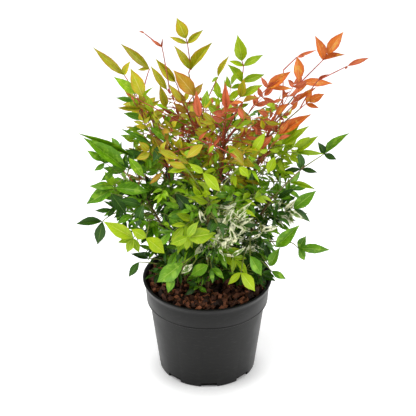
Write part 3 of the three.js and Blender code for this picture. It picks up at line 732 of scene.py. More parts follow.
# %% Bark and rind
def bark_material(name, pale, dark, grain_length, roughness):
    """Fibrous bark: streaks as long as grain_length and a fifth as wide, in millimetres."""
    material, tree, place = blank_material(name)
    drawn = add(tree, "ShaderNodeMapping", {"Vector": place, "Scale": (5.0, 5.0, 1.0)})
    fibres = add(tree, "ShaderNodeTexNoise", {
        "Vector": drawn, "Scale": 1 / (grain_length * MM), "Detail": 5.0})
    patches = add(tree, "ShaderNodeTexNoise", {"Vector": place, "Scale": 1 / (30 * MM)})
    mixed = add(tree, "ShaderNodeMath", {0: fibres, 1: patches}, operation="ADD")
    share = add(tree, "ShaderNodeMapRange", {"Value": mixed, "From Min": 0.75, "From Max": 1.25})
    colour = add(tree, "ShaderNodeMix", {
        "Factor": share, "A": linear(dark), "B": linear(pale)}, data_type="RGBA")
    close_material(tree, colour, fibres, 0.25, Roughness=roughness)
    return material


cane_bark = bark_material("fibrous_cane_bark", "#96784e", "#43301c", 9, 0.8)
bough_rind = bark_material("green_brown_rind", "#8f8448", "#5d4024", 14, 0.55)
red_rind = bark_material("young_red_rind", "#c2553c", "#8a2c22", 14, 0.45)
green_rind = bark_material("young_green_rind", "#9aa24e", "#66702c", 14, 0.5)
shown("canes", canes.mesh("canes"), cane_bark, ["cane_" + name for name in CANES],
      crease=50)

# %% [markdown]
# ## The growth rule
# A frond grows from its tip back. At the end of the stalk stands one leaflet with a close pair
# beside it. Behind it comes a pair of single leaflets, and further back pairs of side stalks, each
# with an end group of its own. Leaflets turn to the light, and they leave the stalk at about 50
# degrees. The rule makes the stalks and twigs at once, and only writes down where each leaflet
# goes, because the blades need more care and come later.

# %% Colours of fronds
# a frond's end has the tint of its own name, and its side stalks have tints from these
PALETTES = {
    "gold": ("gold", "lime", "gold", "lime", "bronze"), "lime": ("lime", "fresh", "lime", "green"),
    "olive": ("olive", "olive", "gold", "fresh"), "bronze": ("bronze", "gold", "coral", "fresh"),
    "coral": ("coral", "lime", "coral", "gold"), "orange": ("orange", "orange", "coral", "orange"),
    "fresh": ("fresh", "fresh", "lime", "green"), "green": ("green", "green", "fresh", "dark"),
    "dark": ("dark", "dark", "green", "dark"), "cream": ("cream", "dark", "green", "cream"),
}
RED_STALKS = ("gold", "olive", "bronze", "coral", "orange")
YOUNG_ABOVE = 385                # mm; higher stalks are young, and red whatever they carry

leaflets = {kind: [] for kind in PALETTES}
twigs = {"red": Bundle(), "green": Bundle()}
boughs = Bundle()
print(len(PALETTES), "colours of spray")

# %% [markdown]
# Two directions place a leaflet: the one it points in, and the one its upper side looks in, which
# has to be square to it. Some leaflets would end in the pot or outside the plant, so a test
# shortens such a leaflet, or leaves it out.

# %% Directions, and room for a leaflet
LIGHT = Vector((0, -0.45, 0.8))  # where most of the light comes from
TO_EYE = Vector((0, -math.cos(PITCH), math.sin(PITCH)))

# a leaflet that would leave the solids' box by more than SPARE, or touch the pot, is made shorter
LENGTH_TRIES, SPARE, OVER_POT, ROUND_POT = (1, 0.88, 0.76, 0.64), 3, 2, 3
lowest = Vector(cad_box[0]) / MM - Vector((SPARE, SPARE, SPARE))
highest = Vector(cad_box[1]) / MM + Vector((SPARE, SPARE, SPARE))


def square_to(vector, along):
    """The part of a vector that stands upright on a direction, at unit length."""
    return (vector - along * vector.dot(along)).normalized()


def branching(along, normal, hand, degrees):
    """A direction that leaves a stalk at an angle towards one hand."""
    side = along.cross(normal)
    turn = math.radians(degrees)
    return along * math.cos(turn) + side * (hand * math.sin(turn))


def room_for(root, along, length):
    """The length that keeps a leaflet in the plant's space and out of the pot, or None."""
    for share in LENGTH_TRIES:
        tip, middle = root + along * length * share, root + along * length * share * 0.5
        in_box = all(lowest[k] < tip[k] < highest[k] for k in range(3))
        in_pot = any(point.z < POT_HEIGHT + OVER_POT
                     and math.hypot(point.x, point.y) < LIP_RADIUS + ROUND_POT
                     for point in (root, middle, tip))
        if in_box and not in_pot:
            return length * share
    return None


print("highest tip allowed, in millimetres:", round(highest.z, 1))

# %% [markdown]
# Now the rule itself. Every frond has its own random numbers, so one frond can be changed and the
# rest of the crown stays as it is. A class suits this, because all steps of the rule share the
# frond's curve, colour and numbers.

# %% Frond rule
PAIR_ANGLE, SIDE_ANGLE, ANGLE_JITTER = 50, 60, 12      # degrees
NODE_SPACING = 27                # from one pair to the next along a stalk
NODE_SHARE, SIDE_SHARE = 0.78, 0.46     # the same on short stalks and on side stalks, as shares
                                        # of the leaflets' length
END_PAIR_BACK = 5                # from the end leaflet to its close pair
BARE_FOOT, SIDE_FOOT = 10, 0.2   # no pair stands lower: on a stalk, and as a share of a side stalk
END_SIZE, CLOSE_SIZE, PAIR_SIZE = 0.9, 0.84, 0.86      # the end leaflet, and the pairs behind it
SIDE_SIZES, SIDE_PAIR_SIZE = (0.66, 0.86), 0.94        # the same on side stalks
LIFT, RISE = 0.3, 0.12           # how far shoots stray up or down, and how far side stalks rise
CUP = 0.25                       # how far upper sides lean in, as a frond is slightly cupped
FROND_ROLL = 35                  # degrees that a frond may be turned round its stalk
STALK_SHARE = 0.025              # radius of a stalk's foot, as a share of its leaflets' length
SIDE_RADII = (0.62, 0.42)        # radii of a side stalk's foot and tip
TWIG_STEPS, TWIG_SIDES = 5, 6
PLAIN, TWISTED = (0.3, 0.46), (0.23, 0.38)   # width of a leaflet, as a share of its length
SIZE_SPREAD = 0.12               # leaflets come out this much smaller at most
MEAN_SIZE = 1 - SIZE_SPREAD / 2
LEAF_ROLL = 34                   # degrees that a leaflet may lie out of its frond's plane
LEAF_STRAY, LEAF_FALL = (0.2, 0.2, 0.3), 0.1      # how far its direction strays and hangs


class Frond:
    """One frond: its stalk and twigs, and the leaflets that it adds to the lists above.

    It follows a bow from its bare share on, with leaflets of length leaf; longest is the most
    pairs on a side stalk, and end_back is how far behind the bow's tip the stalk ends.
    """

    def __init__(self, bow, bare, leaf, colour, seed, facing, longest=1, end_back=None):
        self.dice = random.Random(seed)
        self.bow, self.bare, self.leaf, self.facing = bow, bare, leaf, facing
        self.colour = self.kind = colour
        self.longest, self.end_back = longest, end_back or leaf
        young = bow.points[2].z > YOUNG_ABOVE
        self.rind = "red" if young or colour in RED_STALKS else "green"
        self.roll = math.radians(self.jitter(FROND_ROLL))

    def jitter(self, amount):
        return self.dice.uniform(-amount, amount)

    def leaflet(self, root, along, normal, length, slim=None):
        """One leaflet; without a width share it strays and rolls, as a grown one does."""
        length = room_for(root, along, length)
        if not length:
            return
        if slim:
            length /= MEAN_SIZE
        else:
            slim = self.dice.uniform(*(TWISTED if self.kind == "cream" else PLAIN))
            x, y, z = [self.jitter(stray) for stray in LEAF_STRAY]
            along = (along + Vector((x, y, z - LEAF_FALL))).normalized()
            roll = Matrix.Rotation(math.radians(self.jitter(LEAF_ROLL)), 3, along)
            normal = square_to(normal, along) @ roll
        normal, across = square_to(normal, along), slim * length
        turn = Matrix((along, normal.cross(along), normal)).transposed().to_euler()
        leaflets[self.kind].append((root, turn, (length, across, length), self.dice.random()))

    def cupped(self, along, normal, hand):
        """An upper side that leans a little towards the stalk."""
        return normal + along.cross(normal) * (self.jitter(CUP) - CUP * hand)

    def pair(self, at, along, normal, length):
        for hand in (-1, 1):
            out = branching(along, normal, hand, PAIR_ANGLE + self.jitter(ANGLE_JITTER))
            out.z += self.jitter(LIFT)
            self.leaflet(at, out.normalized(), self.cupped(along, normal, hand),
                         length * self.dice.uniform(0.86, 1.06))

    def end_group(self, at, along, normal, length):
        self.leaflet(at, along, normal, length)
        self.pair(at - along * END_PAIR_BACK, along, normal, CLOSE_SIZE * length)

    def side_stalk(self, at, along, normal, hand, pairs):
        out = branching(along, normal, hand, SIDE_ANGLE + self.jitter(ANGLE_JITTER))
        out.z += RISE + self.jitter(LIFT)
        out.normalize()
        tilted = square_to(self.cupped(along, normal, hand), out)
        step = SIDE_SHARE * self.leaf
        reach = step * (pairs + 0.7) * self.dice.uniform(0.85, 1.1)
        stalk = Bow(at, at + out * reach * 0.5 + Vector((0, 0, self.jitter(2))),
                    at + out * reach + Vector((0, 0, -1.5)))
        self.twig(stalk, 0, 1, *SIDE_RADII)
        self.kind = self.dice.choice(PALETTES[self.colour])
        size = self.leaf * self.dice.uniform(*SIDE_SIZES)
        self.end_group(stalk.at(1), stalk.along(1), tilted, size)
        for back in range(1, pairs):
            share = 1 - back * step / reach
            if share > SIDE_FOOT:
                self.pair(stalk.at(share), stalk.along(share), tilted, size * SIDE_PAIR_SIZE)
        self.kind = self.colour

    def twig(self, stalk, start, end, foot, tip):
        steps = range(TWIG_STEPS + 1)
        path = [stalk.at(start + (end - start) * i / TWIG_STEPS) for i in steps]
        radii = [foot + (tip - foot) * i / TWIG_STEPS for i in steps]
        twigs[self.rind].take(*tube(path, radii, TWIG_SIDES))

    def pose(self, share):
        """Place, direction and upper side of the stalk at a share of its length."""
        along = self.bow.along(share)
        upper = square_to(self.facing, along) @ Matrix.Rotation(self.roll, 3, along)
        return self.bow.at(share), along, upper

    def grow(self):
        length, foot = self.bow.length(), STALK_SHARE * self.leaf
        end = 1 - self.end_back / length
        if end < self.bare:
            return
        self.twig(self.bow, self.bare, end, foot, 0.5 * foot)
        self.end_group(*self.pose(end), self.leaf * END_SIZE)
        step = min(NODE_SPACING, NODE_SHARE * self.leaf) / length
        share, place = end - step, 1
        while share > self.bare + BARE_FOOT / length:
            at, along, normal = self.pose(share)
            if place == 1:
                self.pair(at, along, normal, PAIR_SIZE * self.leaf)
            else:
                for hand in (-1, 1):
                    self.side_stalk(at, along, normal, hand, min(place - 1, self.longest))
            share, place = share - step * self.dice.uniform(0.85, 1.2), place + 1


print("leaflets stand", PAIR_ANGLE, "degrees from their stalk")

# %% [markdown]
# The sprays of the plan are grown first. Their leaflets are smaller than those of the solids and
# there are more of them, because a mesh for rendering may have many more faces. A long spray has
# a bare lower length, a bough, with a faint ring at every old leaf scar.

# %% Grow the sprays
DENSE_BELOW = 440                # sprays that end higher belong to the airy top
FINER_BELOW, FINER_ABOVE = 0.7, 0.8    # leaflets' length here, as a share of the solids'
OUTWARD = 0.4                    # how far leaflets look outwards, beside LIGHT.z upwards
BOUGH_FOOT, BOUGH_TAPER, BOUGH_RING = 1.15, 0.35, 0.15   # mm
BOUGH_STEPS, BOUGH_SIDES, RING_EVERY = 12, 10, 4
# a frond's seed is a start for its kind, and a step for its number, so that no two are alike
MAIN_SEED, GROUP_SEED, FILL_SEED, INNER_SEED, SHOOT_SEED = 1009, 3000, 5000, 9000, 12000


def facing_light(tip, behind):
    """Where the upper sides of a frond's leaflets look."""
    outward = Vector((tip[0], tip[1], 0)).normalized()
    return Vector((0, -LIGHT.y if behind else LIGHT.y, LIGHT.z)) + outward * OUTWARD


def bowed(start, tip, rise):
    return Bow(start, start.lerp(tip, 0.5) + Vector((0, 0, rise)), tip)


# how far behind the tips of these sprays the rule begins; the rest is written down further on
BEGINS_BACK = {
    "top_gold": 115, "top_lime": 105, "top_olive_left": 105, "top_olive_back": 95,
    "top_gold_left": 75, "top_gold_middle": 75, "top_bronze": 75, "red_shoot": 110,
    "orange_high": 130, "orange_far": 110, "orange_arch": 75, "left_fresh": 70, "coral_right": 66,
    "right_dark": 90, "right_triple": 80, "left_dark_far": 70, "left_big_green": 62,
    "left_dark_low": 60, "left_lime_front": 56, "right_orange_green": 60, "left_green": 56,
    "left_bronze": 84,
}
spray_bows = {}
for i, (name, cane, share, x, y, z, rise, bare, pairs, leaf, colour) in enumerate(SPRAYS):
    tip = Vector((x, y, z))
    finer = FINER_BELOW if z <= DENSE_BELOW else FINER_ABOVE
    stalk = spray_bows[name] = bowed(cane_bows[cane].at(share), tip, rise)
    Frond(stalk, bare, finer * leaf, colour, MAIN_SEED + 97 * i,
          facing_light(tip, name.startswith("back")),
          longest=pairs, end_back=BEGINS_BACK.get(name, leaf)).grow()
    if bare:
        steps = range(BOUGH_STEPS + 1)
        radii = [BOUGH_FOOT - BOUGH_TAPER * k / BOUGH_STEPS
                 + BOUGH_RING * (k % RING_EVERY == RING_EVERY - 1) for k in steps]
        boughs.take(*tube([stalk.at(bare * k / BOUGH_STEPS) for k in steps], radii, BOUGH_SIDES))
print("main fronds:", sum(map(len, leaflets.values())), "leaflets")

# %% [markdown]
# The tips against the sky and the large leaflets in front are what a gardener would recognise, so
# these are written down one by one. They stand in groups on a node, and each node hangs on a stalk
# that springs from a cane or a spray, or goes on from the node before. It is easiest to write them
# as the camera sees them: across and down in steps of the view, with the depth in millimetres.

# %% Groups of leaflets that are written down
VIEW_STEPS = 416                 # steps across the camera's view
LENS_STEPS = camera.data.lens / camera.data.sensor_width * VIEW_STEPS
STEP_SIZE = DISTANCE / MM / LENS_STEPS      # millimetres in one step, beside the plant
TIP_FORWARD = 6                  # a leaflet's tip is this much nearer than its node
GROUP_RISE, GROUP_RADII = 6, (0.95, 0.65)   # bow and radii of a group's stalk


def seen(across, down, depth):
    """The point in millimetres at that depth which the camera sees at that step."""
    ray = Vector((across - VIEW_STEPS / 2, VIEW_STEPS / 2 - down, -LENS_STEPS))
    ray.rotate(camera.rotation_euler)
    eye = camera.location / MM
    return eye + ray * ((depth - eye.y) / ray.y)


# from, share of it, node; then each leaflet's tip, width share, tint and, if it has one, roll
GROUPS = [
    ("top_gold", 0.4, (191, 70, 88), [(174, 46, 0.3, "gold"), (212, 40.5, 0.32, "gold")]),
    (None, 0, (187.5, 43.5, 90), [(168.5, 36.5, 0.26, "gold", 10), (202.5, 30.5, 0.34, "gold")]),
    (None, 0, (186, 38.5, 90), [(177, 18, 0.58, "gold")]),
    ("top_lime", 0.2, (240.5, 97, 66), [(244, 80, 0.5, "gold"), (264, 84, 0.36, "lime")]),
    (None, 0, (242, 82, 70), [(229, 65, 0.45, "lime"), (264, 74, 0.36, "lime")]),
    (None, 0, (243.5, 66, 72), [(228, 60.5, 0.34, "lime"), (262, 54.5, 0.38, "lime")]),
    (None, 0, (242, 61, 72), [(238.5, 36.5, 0.52, "lime")]),
    ("top_olive_left", 0.3, (124, 75, 20), [
        (92.6, 47, 0.21, "olive", 10), (129, 61, 0.5, "gold")]),
    ("top_olive_back", 0.4, (149.5, 69, 80), [
        (120.5, 44, 0.24, "olive", 10), (138, 69.5, 0.36, "gold")]),
    ("top_gold_middle", 0.3, (167, 90, 20), [(150, 65.5, 0.26, "gold", 10)]),
    ("top_gold_middle", 0.4, (175.5, 82, 60), [(155, 58.5, 0.32, "gold", 10)]),
    ("top_gold_left", 0.4, (143, 97, -30), [(131, 69, 0.44, "gold"), (152, 87, 0.24, "lime")]),
    ("top_bronze", 0.5, (194.5, 95.5, -40), [
        (175.5, 70.5, 0.46, "bronze"), (202, 84.5, 0.5, "bronze")]),
    ("red_shoot", 0.5, (162, 47, 28), [(150, 39, 0.24, "coral"), (162.5, 38.5, 0.22, "coral")]),
    (None, 0, (144.5, 33.5, 30), [(139.5, 31, 0.4, "coral")]),
    ("left_fresh", 0.4, (136, 94, -24), [(115, 76.5, 0.36, "fresh")]),
    ("left_fresh", 0.4, (133.5, 101, -24), [(115, 97.5, 0.3, "green")]),
    ("left", 0.75, (141.5, 108.5, -20), [(115.5, 108, 0.22, "olive", 10)]),
    ("left", 0.72, (144.5, 119.5, -20), [(123, 112.5, 0.3, "green")]),
    ("middle", 0.85, (131, 96, -34), [(125.5, 93, 0.3, "coral"), (134, 101, 0.3, "coral")]),
    ("back", 0.9, (218, 77, 20), [(229.5, 55, 0.26, "gold", 10), (211.5, 82, 0.4, "lime")]),
    ("back", 0.85, (199.5, 117, -60), [(196, 91.5, 0.32, "coral")]),
    ("middle", 0.9, (226.5, 110, -60), [(225, 85, 0.3, "coral", 10)]),
    ("middle", 0.92, (243, 102, -50), [(259, 96, 0.42, "bronze", 10), (230, 103, 0.3, "orange")]),
    ("middle", 0.88, (244, 120, -50), [(240, 106, 0.5, "bronze")]),
    ("orange_arch", 0.4, (283.5, 70, -22), []),
    (None, 0, (297, 57, -22), [
        (316, 50, 0.16, "coral"), (299, 84, 0.42, "orange"), (305, 56, 0.3, "coral")]),
    ("orange_high", 0.4, (300, 83, 30), [(332, 82, 0.28, "orange", 10)]),
    (None, 0, (323, 60, 30), [(318, 38, 0.44, "orange"), (346, 52.5, 0.32, "orange")]),
    (None, 0, (327, 54, 30), [(345, 29, 0.42, "orange")]),
    ("orange_high", 0.35, (292, 95, 10), [(309, 82.5, 0.26, "orange")]),
    ("orange_far", 0.34, (318, 80.5, 0), [(329, 73.5, 0.22, "coral")]),
    (None, 0, (347.5, 66, 0), [(368.5, 57.5, 0.22, "coral"), (345, 69.5, 0.5, "coral")]),
    ("coral_right", 0.4, (267.5, 88, -60), [
        (289.5, 72, 0.36, "orange"), (261.5, 77, 0.36, "coral"), (291, 88, 0.2, "orange", 10),
        (282.5, 77, 0.2, "coral")]),
    ("right", 0.93, (282.5, 99.5, -10), [(289.5, 90.5, 0.34, "coral"), (271, 103, 0.3, "coral")]),
    ("right", 0.93, (298, 101.5, -10), [
        (317, 87, 0.2, "orange", 10), (291, 111, 0.34, "orange"), (292, 95.5, 0.4, "coral")]),
    ("right", 0.9, (276.5, 115, -20), [(287.5, 103, 0.42, "orange"), (270, 122, 0.34, "coral")]),
    ("right", 0.9, (279.5, 134, -44), [(309, 114, 0.3, "orange"), (289.5, 119.5, 0.34, "orange")]),
    ("middle", 0.9, (260, 148.5, -60), [(272, 135.5, 0.4, "coral")]),
    ("right", 0.75, (279, 139, -50), [(291, 135, 0.34, "coral")]),
    ("middle", 0.85, (252.5, 154, -62), [(266, 131, 0.36, "lime")]),
    ("right", 0.8, (282, 145, -36), [(300.5, 122, 0.26, "lime"), (307, 126.5, 0.24, "lime", 10)]),
    ("right", 0.78, (296.5, 152.5, -12), [(319, 135.5, 0.3, "lime"), (324, 153, 0.2, "lime")]),
    ("right_dark", 0.45, (301, 169, 8), [
        (299.5, 153.5, 0.6, "dark"), (317.5, 172.5, 0.32, "dark"), (278, 174, 0.3, "dark")]),
    (None, 0, (324, 154, 10), [
        (348.5, 131, 0.3, "green"), (319.5, 143, 0.62, "dark"), (336, 159, 0.46, "dark")]),
    ("left_big_green", 0.3, (133, 157.5, -20), [(82, 133.5, 0.1, "fresh", 15)]),
    ("left_big_green", 0.4, (127, 170.5, -24), [(147, 160, 0.34, "dark", 20)]),
    ("left", 0.6, (149, 160, -22), [(123, 148.5, 0.3, "dark", 10)]),
    ("left", 0.5, (162, 173, -50), [(149.5, 184.5, 0.3, "bronze")]),
    ("left_big_green", 0.4, (125, 169, -32), [
        (88, 139.5, 0.3, "green", 10), (108, 170, 0.36, "green")]),
    ("left", 0.6, (129, 158, -36), [(144, 177.5, 0.36, "fresh")]),
    ("left", 0.62, (165, 144, -40), [(152.5, 162, 0.46, "dark")]),
    ("left", 0.75, (150, 142, -20), [(121, 129, 0.15, "green", 20)]),
    ("left", 0.7, (152.5, 148.5, -24), [(134, 139, 0.27, "green", 20)]),
    ("left", 0.72, (172, 142, -20), [(151, 127, 0.42, "green")]),
    ("left", 0.6, (179, 158.5, -60), [(158.5, 151, 0.27, "gold")]),
    ("left_green", 0.5, (115, 188, -42), [
        (86, 204, 0.42, "green"), (91, 184.5, 0.32, "green"), (149, 191, 0.4, "green")]),
    ("low_left", 0.88, (111, 193.5, -70), [(127, 215.5, 0.44, "dark")]),
    ("low_left", 0.88, (141, 205, -74), [(118, 199, 0.38, "dark")]),
    ("low_left", 0.8, (143.5, 205, -84), [(135, 227, 0.46, "dark")]),
    ("low_left", 0.8, (131, 217, -60), [(116, 219.5, 0.3, "dark")]),
    ("left_dark_far", 0.45, (102.5, 221.5, -44), [
        (76.5, 223, 0.34, "dark"), (97, 246.5, 0.46, "dark")]),
    ("low_left", 0.8, (133, 238, -108), [
        (103.5, 221, 0.42, "lime"), (127, 253.5, 0.5, "lime"), (118, 242.5, 0.4, "lime", 10),
        (139, 252, 0.45, "lime", 20)]),
    ("low_left", 0.85, (146, 238, -114), [(165.5, 253.5, 0.58, "lime"), (131, 229, 0.6, "lime")]),
    ("front", 0.9, (187.5, 237.5, -124), [
        (214.5, 233.5, 0.55, "lime"), (197, 221.5, 0.5, "lime", 10), (186.5, 251.5, 0.5, "lime"),
        (169.5, 244.5, 0.55, "lime")]),
    ("low_left", 0.2, (139, 262, -46), [(128.5, 277.5, 0.42, "dark")]),
    ("low_left", 0.25, (148.5, 258.5, -48), [(130.5, 253.5, 0.34, "dark")]),
    ("front", 0.6, (183, 263, -100), [(155.5, 284, 0.5, "green")]),
    ("front", 0.5, (173.5, 275, -104), [(167.5, 293, 0.46, "green")]),
    ("front", 0.5, (193, 264, -104), [(179.5, 274.5, 0.42, "cream")]),
    ("front", 0.55, (208, 265, -100), [(190.5, 275.5, 0.6, "green")]),
    ("front", 0.45, (211.5, 268, -95), [(225, 279, 0.42, "green"), (212.5, 283.5, 0.3, "green")]),
    ("low_right", 0.55, (241, 272.5, -95), [
        (256, 292, 0.5, "lime"), (228.5, 284.5, 0.42, "lime")]),
    ("low_right", 0.6, (250, 256, -92), [(261.5, 276, 0.5, "green")]),
    ("low_right", 0.45, (271.5, 271, -50), [(285.5, 279, 0.42, "green")]),
    ("low_right", 0.5, (270, 266, -56), [(279, 248, 0.55, "green")]),
    ("low_right", 0.7, (276, 247, -66), [(297, 227, 0.44, "green")]),
    ("right_triple", 0.5, (298.5, 248.5, -22), [
        (330, 249.5, 0.33, "green"), (306, 235.5, 0.62, "green"), (305, 261, 0.6, "green")]),
    ("low_right", 0.95, (293.5, 208.5, -40), [
        (314.5, 192, 0.44, "green"), (311.5, 221.5, 0.34, "dark", 20)]),
    ("right", 0.6, (278, 198, -30), [(295, 188.5, 0.3, "dark")]),
    ("right", 0.62, (289, 183, -30), [(315.5, 188.5, 0.2, "lime", 10)]),
    ("front", 0.9, (221, 230, -112), [(233.5, 207.5, 0.17, "cream")]),
    ("front", 0.95, (239, 218.5, -110), [(254, 201.5, 0.22, "cream", 10)]),
    ("front", 0.85, (233.5, 243.5, -114), [
        (228.5, 224.5, 0.26, "cream"), (243.5, 229.5, 0.26, "cream", 10),
        (207.5, 238, 0.17, "cream")]),
    ("front", 0.75, (231, 257, -112), [(246, 246.5, 0.22, "cream"), (223.5, 253.5, 0.3, "cream")]),
    ("low_right", 0.75, (262, 232, -84), [
        (280, 225.5, 0.26, "cream"), (250, 241, 0.22, "cream", 10)]),
    ("front", 0.95, (202.5, 222.5, -104), [(198.5, 207, 0.3, "cream")]),
    ("front", 0.9, (175, 193, -90), [(195, 218, 0.38, "dark")]),
    ("front_gold_left", 0.6, (203, 144.5, -70), [(185.5, 158, 0.44, "olive")]),
    ("front_gold_left", 0.6, (160, 150, -66), [(178.5, 159, 0.36, "gold")]),
    ("front", 0.95, (239, 167, -90), [(249.5, 177, 0.6, "lime")]),
    ("right", 0.6, (274.5, 157, -50), [(267, 174.5, 0.5, "lime")]),
    ("middle", 0.7, (227.5, 145, -70), [(244.5, 165, 0.36, "olive")]),
    ("front", 0.97, (203, 173, -104), [(221, 192, 0.42, "lime"), (189, 163, 0.4, "lime")]),
    ("front", 0.97, (186, 168, -104), [(169, 162, 0.4, "olive"), (167.5, 172, 0.36, "lime")]),
    ("left", 0.9, (152, 112, -16), [(144.5, 93, 0.42, "lime"), (137, 104, 0.3, "olive")]),
    ("top_gold_middle", 0.2, (166, 107, 0), [(160, 86, 0.38, "olive")]),
    ("top_bronze", 0.3, (181, 101, -20), [(169, 84, 0.34, "olive")]),
    ("back", 0.88, (204, 108, -50), [(211, 98, 0.5, "gold"), (207, 90, 0.4, "fresh")]),
    ("middle", 0.92, (238, 108, -60), [(244, 120, 0.45, "coral")]),
    ("middle", 0.8, (199, 140, -76), [(206, 132, 0.3, "coral"), (190, 143, 0.3, "gold")]),
    (None, 0, (214, 145, -82), [(220, 138, 0.34, "coral"), (209, 153, 0.4, "lime")]),
    (None, 0, (229, 153, -86), [(237, 158, 0.3, "coral"), (236, 148, 0.4, "lime")]),
]
bows = {**cane_bows, **spray_bows}
for number, (source, share, place, tips) in enumerate(GROUPS):
    start = bows[source].at(share) if source else node
    node = seen(*place)
    stalk = bowed(start, node, GROUP_RISE if source else 0)
    group = Frond(stalk, 0, 0, "green", GROUP_SEED + number, LIGHT)      # it grows nothing itself
    group.twig(stalk, 0, 1, *GROUP_RADII)
    for across, down, slim, kind, *roll in tips:
        group.kind = kind
        out = seen(across, down, place[2] - TIP_FORWARD) - node
        along = out.normalized()
        turn = Matrix.Rotation(math.radians(sum(roll)), 3, along)
        in_view = math.dist((across, down), place[:2]) * STEP_SIZE
        group.leaflet(node, along, square_to(TO_EYE + LIGHT, along) @ turn, out.length,
                      slim * in_view / out.length)
print(len(GROUPS), "groups of leaflets written down")

# %% [markdown]
# A real crown is denser than its outline suggests. Below the airy top, two shorter fronds stand
# beside each of the fuller sprays, of the same colour or, low down, an older one.

# %% Fronds beside the sprays
FILL_TURNS = (-22, 16)           # degrees from a spray to the shorter fronds beside it
FILL_SHARE = 0.68                # their leaflets' length, as a share of the spray's in the solids
LARGEST_FILL = 31                # leaflets of the fill are no longer than this
OPEN_BESIDE = "left_bronze"      # beside this spray the left flank stays open
OLD_BELOW = 310                  # beside a spray that ends lower, one of the two is older
OLDER = {"cream": "dark", "lime": "green", "green": "dark"}

dice = random.Random(71)
for i, (name, cane, share, x, y, z, rise, bare, pairs, leaf, colour) in enumerate(SPRAYS):
    if z > DENSE_BELOW or pairs < 2:
        continue
    for k, turn in enumerate(FILL_TURNS):
        start = cane_bows[cane].at(min(1, share + dice.uniform(-0.08, 0.04)))
        reach = (Vector((x, y, z)) - start) * dice.uniform(0.68, 0.95)
        reach.rotate(Quaternion((0, 0, 1), math.radians(turn + dice.uniform(-6, 6))))
        reach.z += dice.uniform(-18, 22)
        tip = start + reach
        if name == OPEN_BESIDE:          # after the draws, so that the other fronds keep theirs
            continue
        fill = OLDER.get(colour, colour) if k == 0 and z < OLD_BELOW else colour
        Frond(bowed(start, tip, rise), 0, min(LARGEST_FILL, FILL_SHARE * leaf), fill,
              FILL_SEED + 31 * i + k, facing_light(tip, name.startswith("back")),
              longest=2).grow()
print("with the fronds beside them:", sum(map(len, leaflets.values())), "leaflets")

# %% [markdown]
# Inside the sprays every cane carries many small fronds all the way up. Their colour goes by
# their place: old dark growth low and inside, young bright growth on top. The dark tints low and
# inside are partly the old leaflets' own colour and partly painted shade. They turn round the cane
# by the golden angle, as buds do on many plants, so that none stands right over another. Half of
# the highest are left out, because the top of a young plant is airy.

# %% Fronds inside the crown
FILL_HEIGHTS = (150, 200, 260, 330, 390, 430, 460)
FILL_REACH = (76, 104, 128, 132, 116, 86, 50)    # how far the fill spreads at those heights
FILL_DEPTH = 0.9                 # the crown is a little shallower than wide
INNER_FRONDS, INNER_RISE = 26, 10       # on each cane, and their bow
INNER_FROM, INNER_SPAN = 0.06, 0.92     # the part of the cane that carries them
GOLDEN_ANGLE, CANE_TURN = 2.4, 1.3      # radians from frond to frond, and from cane to cane
LONG_ABOVE = 200                 # inner fronds reach further above this height
AIRY_ABOVE, LEFT_OUT = 355, 0.5  # above this height such a share of them is left out
OPEN_SHARE = 0.7                 # and on the left they keep to this share of their distance
BRIGHT_ABOVE = 305               # inner fronds get brighter tints above this height, and darker ones below, partly painted shade
BEHIND = 30                      # fronds that end further back face the other way


def place_colour(place):
    """The colour of a small frond, drawn from those that suit its place in the crown; the dark
    tints low down and inside are partly painted shade.
    """
    if place.z > YOUNG_ABOVE:
        if place.x < -45:
            return dice.choice(("gold", "lime", "fresh", "olive"))
        if place.x < 65:
            return dice.choice(("coral", "lime", "gold", "fresh"))
        return dice.choice(("orange", "lime", "coral", "fresh"))
    if place.z > BRIGHT_ABOVE:
        if place.x > 60:
            return dice.choice(("fresh", "lime", "gold", "green", "lime", "lime"))
        if place.x < -60:
            return dice.choice(("fresh", "green", "dark", "green", "fresh", "green"))
        return dice.choice(("fresh", "lime", "gold", "green", "fresh", "green"))
    if -30 < place.x < 110 and place.y < 0 and place.z > 215:
        return dice.choice(("cream", "green", "dark", "green", "dark"))
    # partly painted shade: low down, most fronds get the dark tint
    return dice.choice(("green", "dark", "dark", "dark", "green"))


for number, bow in enumerate(cane_bows.values()):
    for k in range(INNER_FRONDS):
        start = bow.at(INNER_FROM + INNER_SPAN * k / (INNER_FRONDS - 1))
        bearing = GOLDEN_ANGLE * k + CANE_TURN * number
        reach = dice.uniform(58, 104) if start.z > LONG_ABOVE else dice.uniform(40, 84)
        tip = start + Vector((math.cos(bearing) * reach, math.sin(bearing) * reach,
                              dice.uniform(-6, 40)))
        spread = math.hypot(tip.x, tip.y / FILL_DEPTH)
        pull = min(1, np.interp(tip.z, FILL_HEIGHTS, FILL_REACH) / spread)
        tip.x, tip.y = tip.x * pull, tip.y * pull
        airy = tip.z > AIRY_ABOVE
        if airy and tip.x < 0:
            tip.x *= OPEN_SHARE
        if airy and dice.random() < LEFT_OUT:
            continue
        leaf = dice.uniform(18, 26) if airy else dice.uniform(22, LARGEST_FILL)
        Frond(bowed(start, tip, INNER_RISE), 0, leaf, place_colour(tip),
              INNER_SEED + 17 * k + number, facing_light(tip, tip.y > BEHIND),
              longest=1 if airy else 2).grow()
print("with the fronds inside:", sum(map(len, leaflets.values())), "leaflets")

# %% [markdown]
# Last come a few shoots in the places that are still thin. With them the stalks and twigs are
# complete, and each kind of rind becomes one piece. A mesh of its own for every twig would give
# the same picture, but thousands of pieces to look after.

# %% Shoots, stalks and twigs
SHOOT_RISE = 9
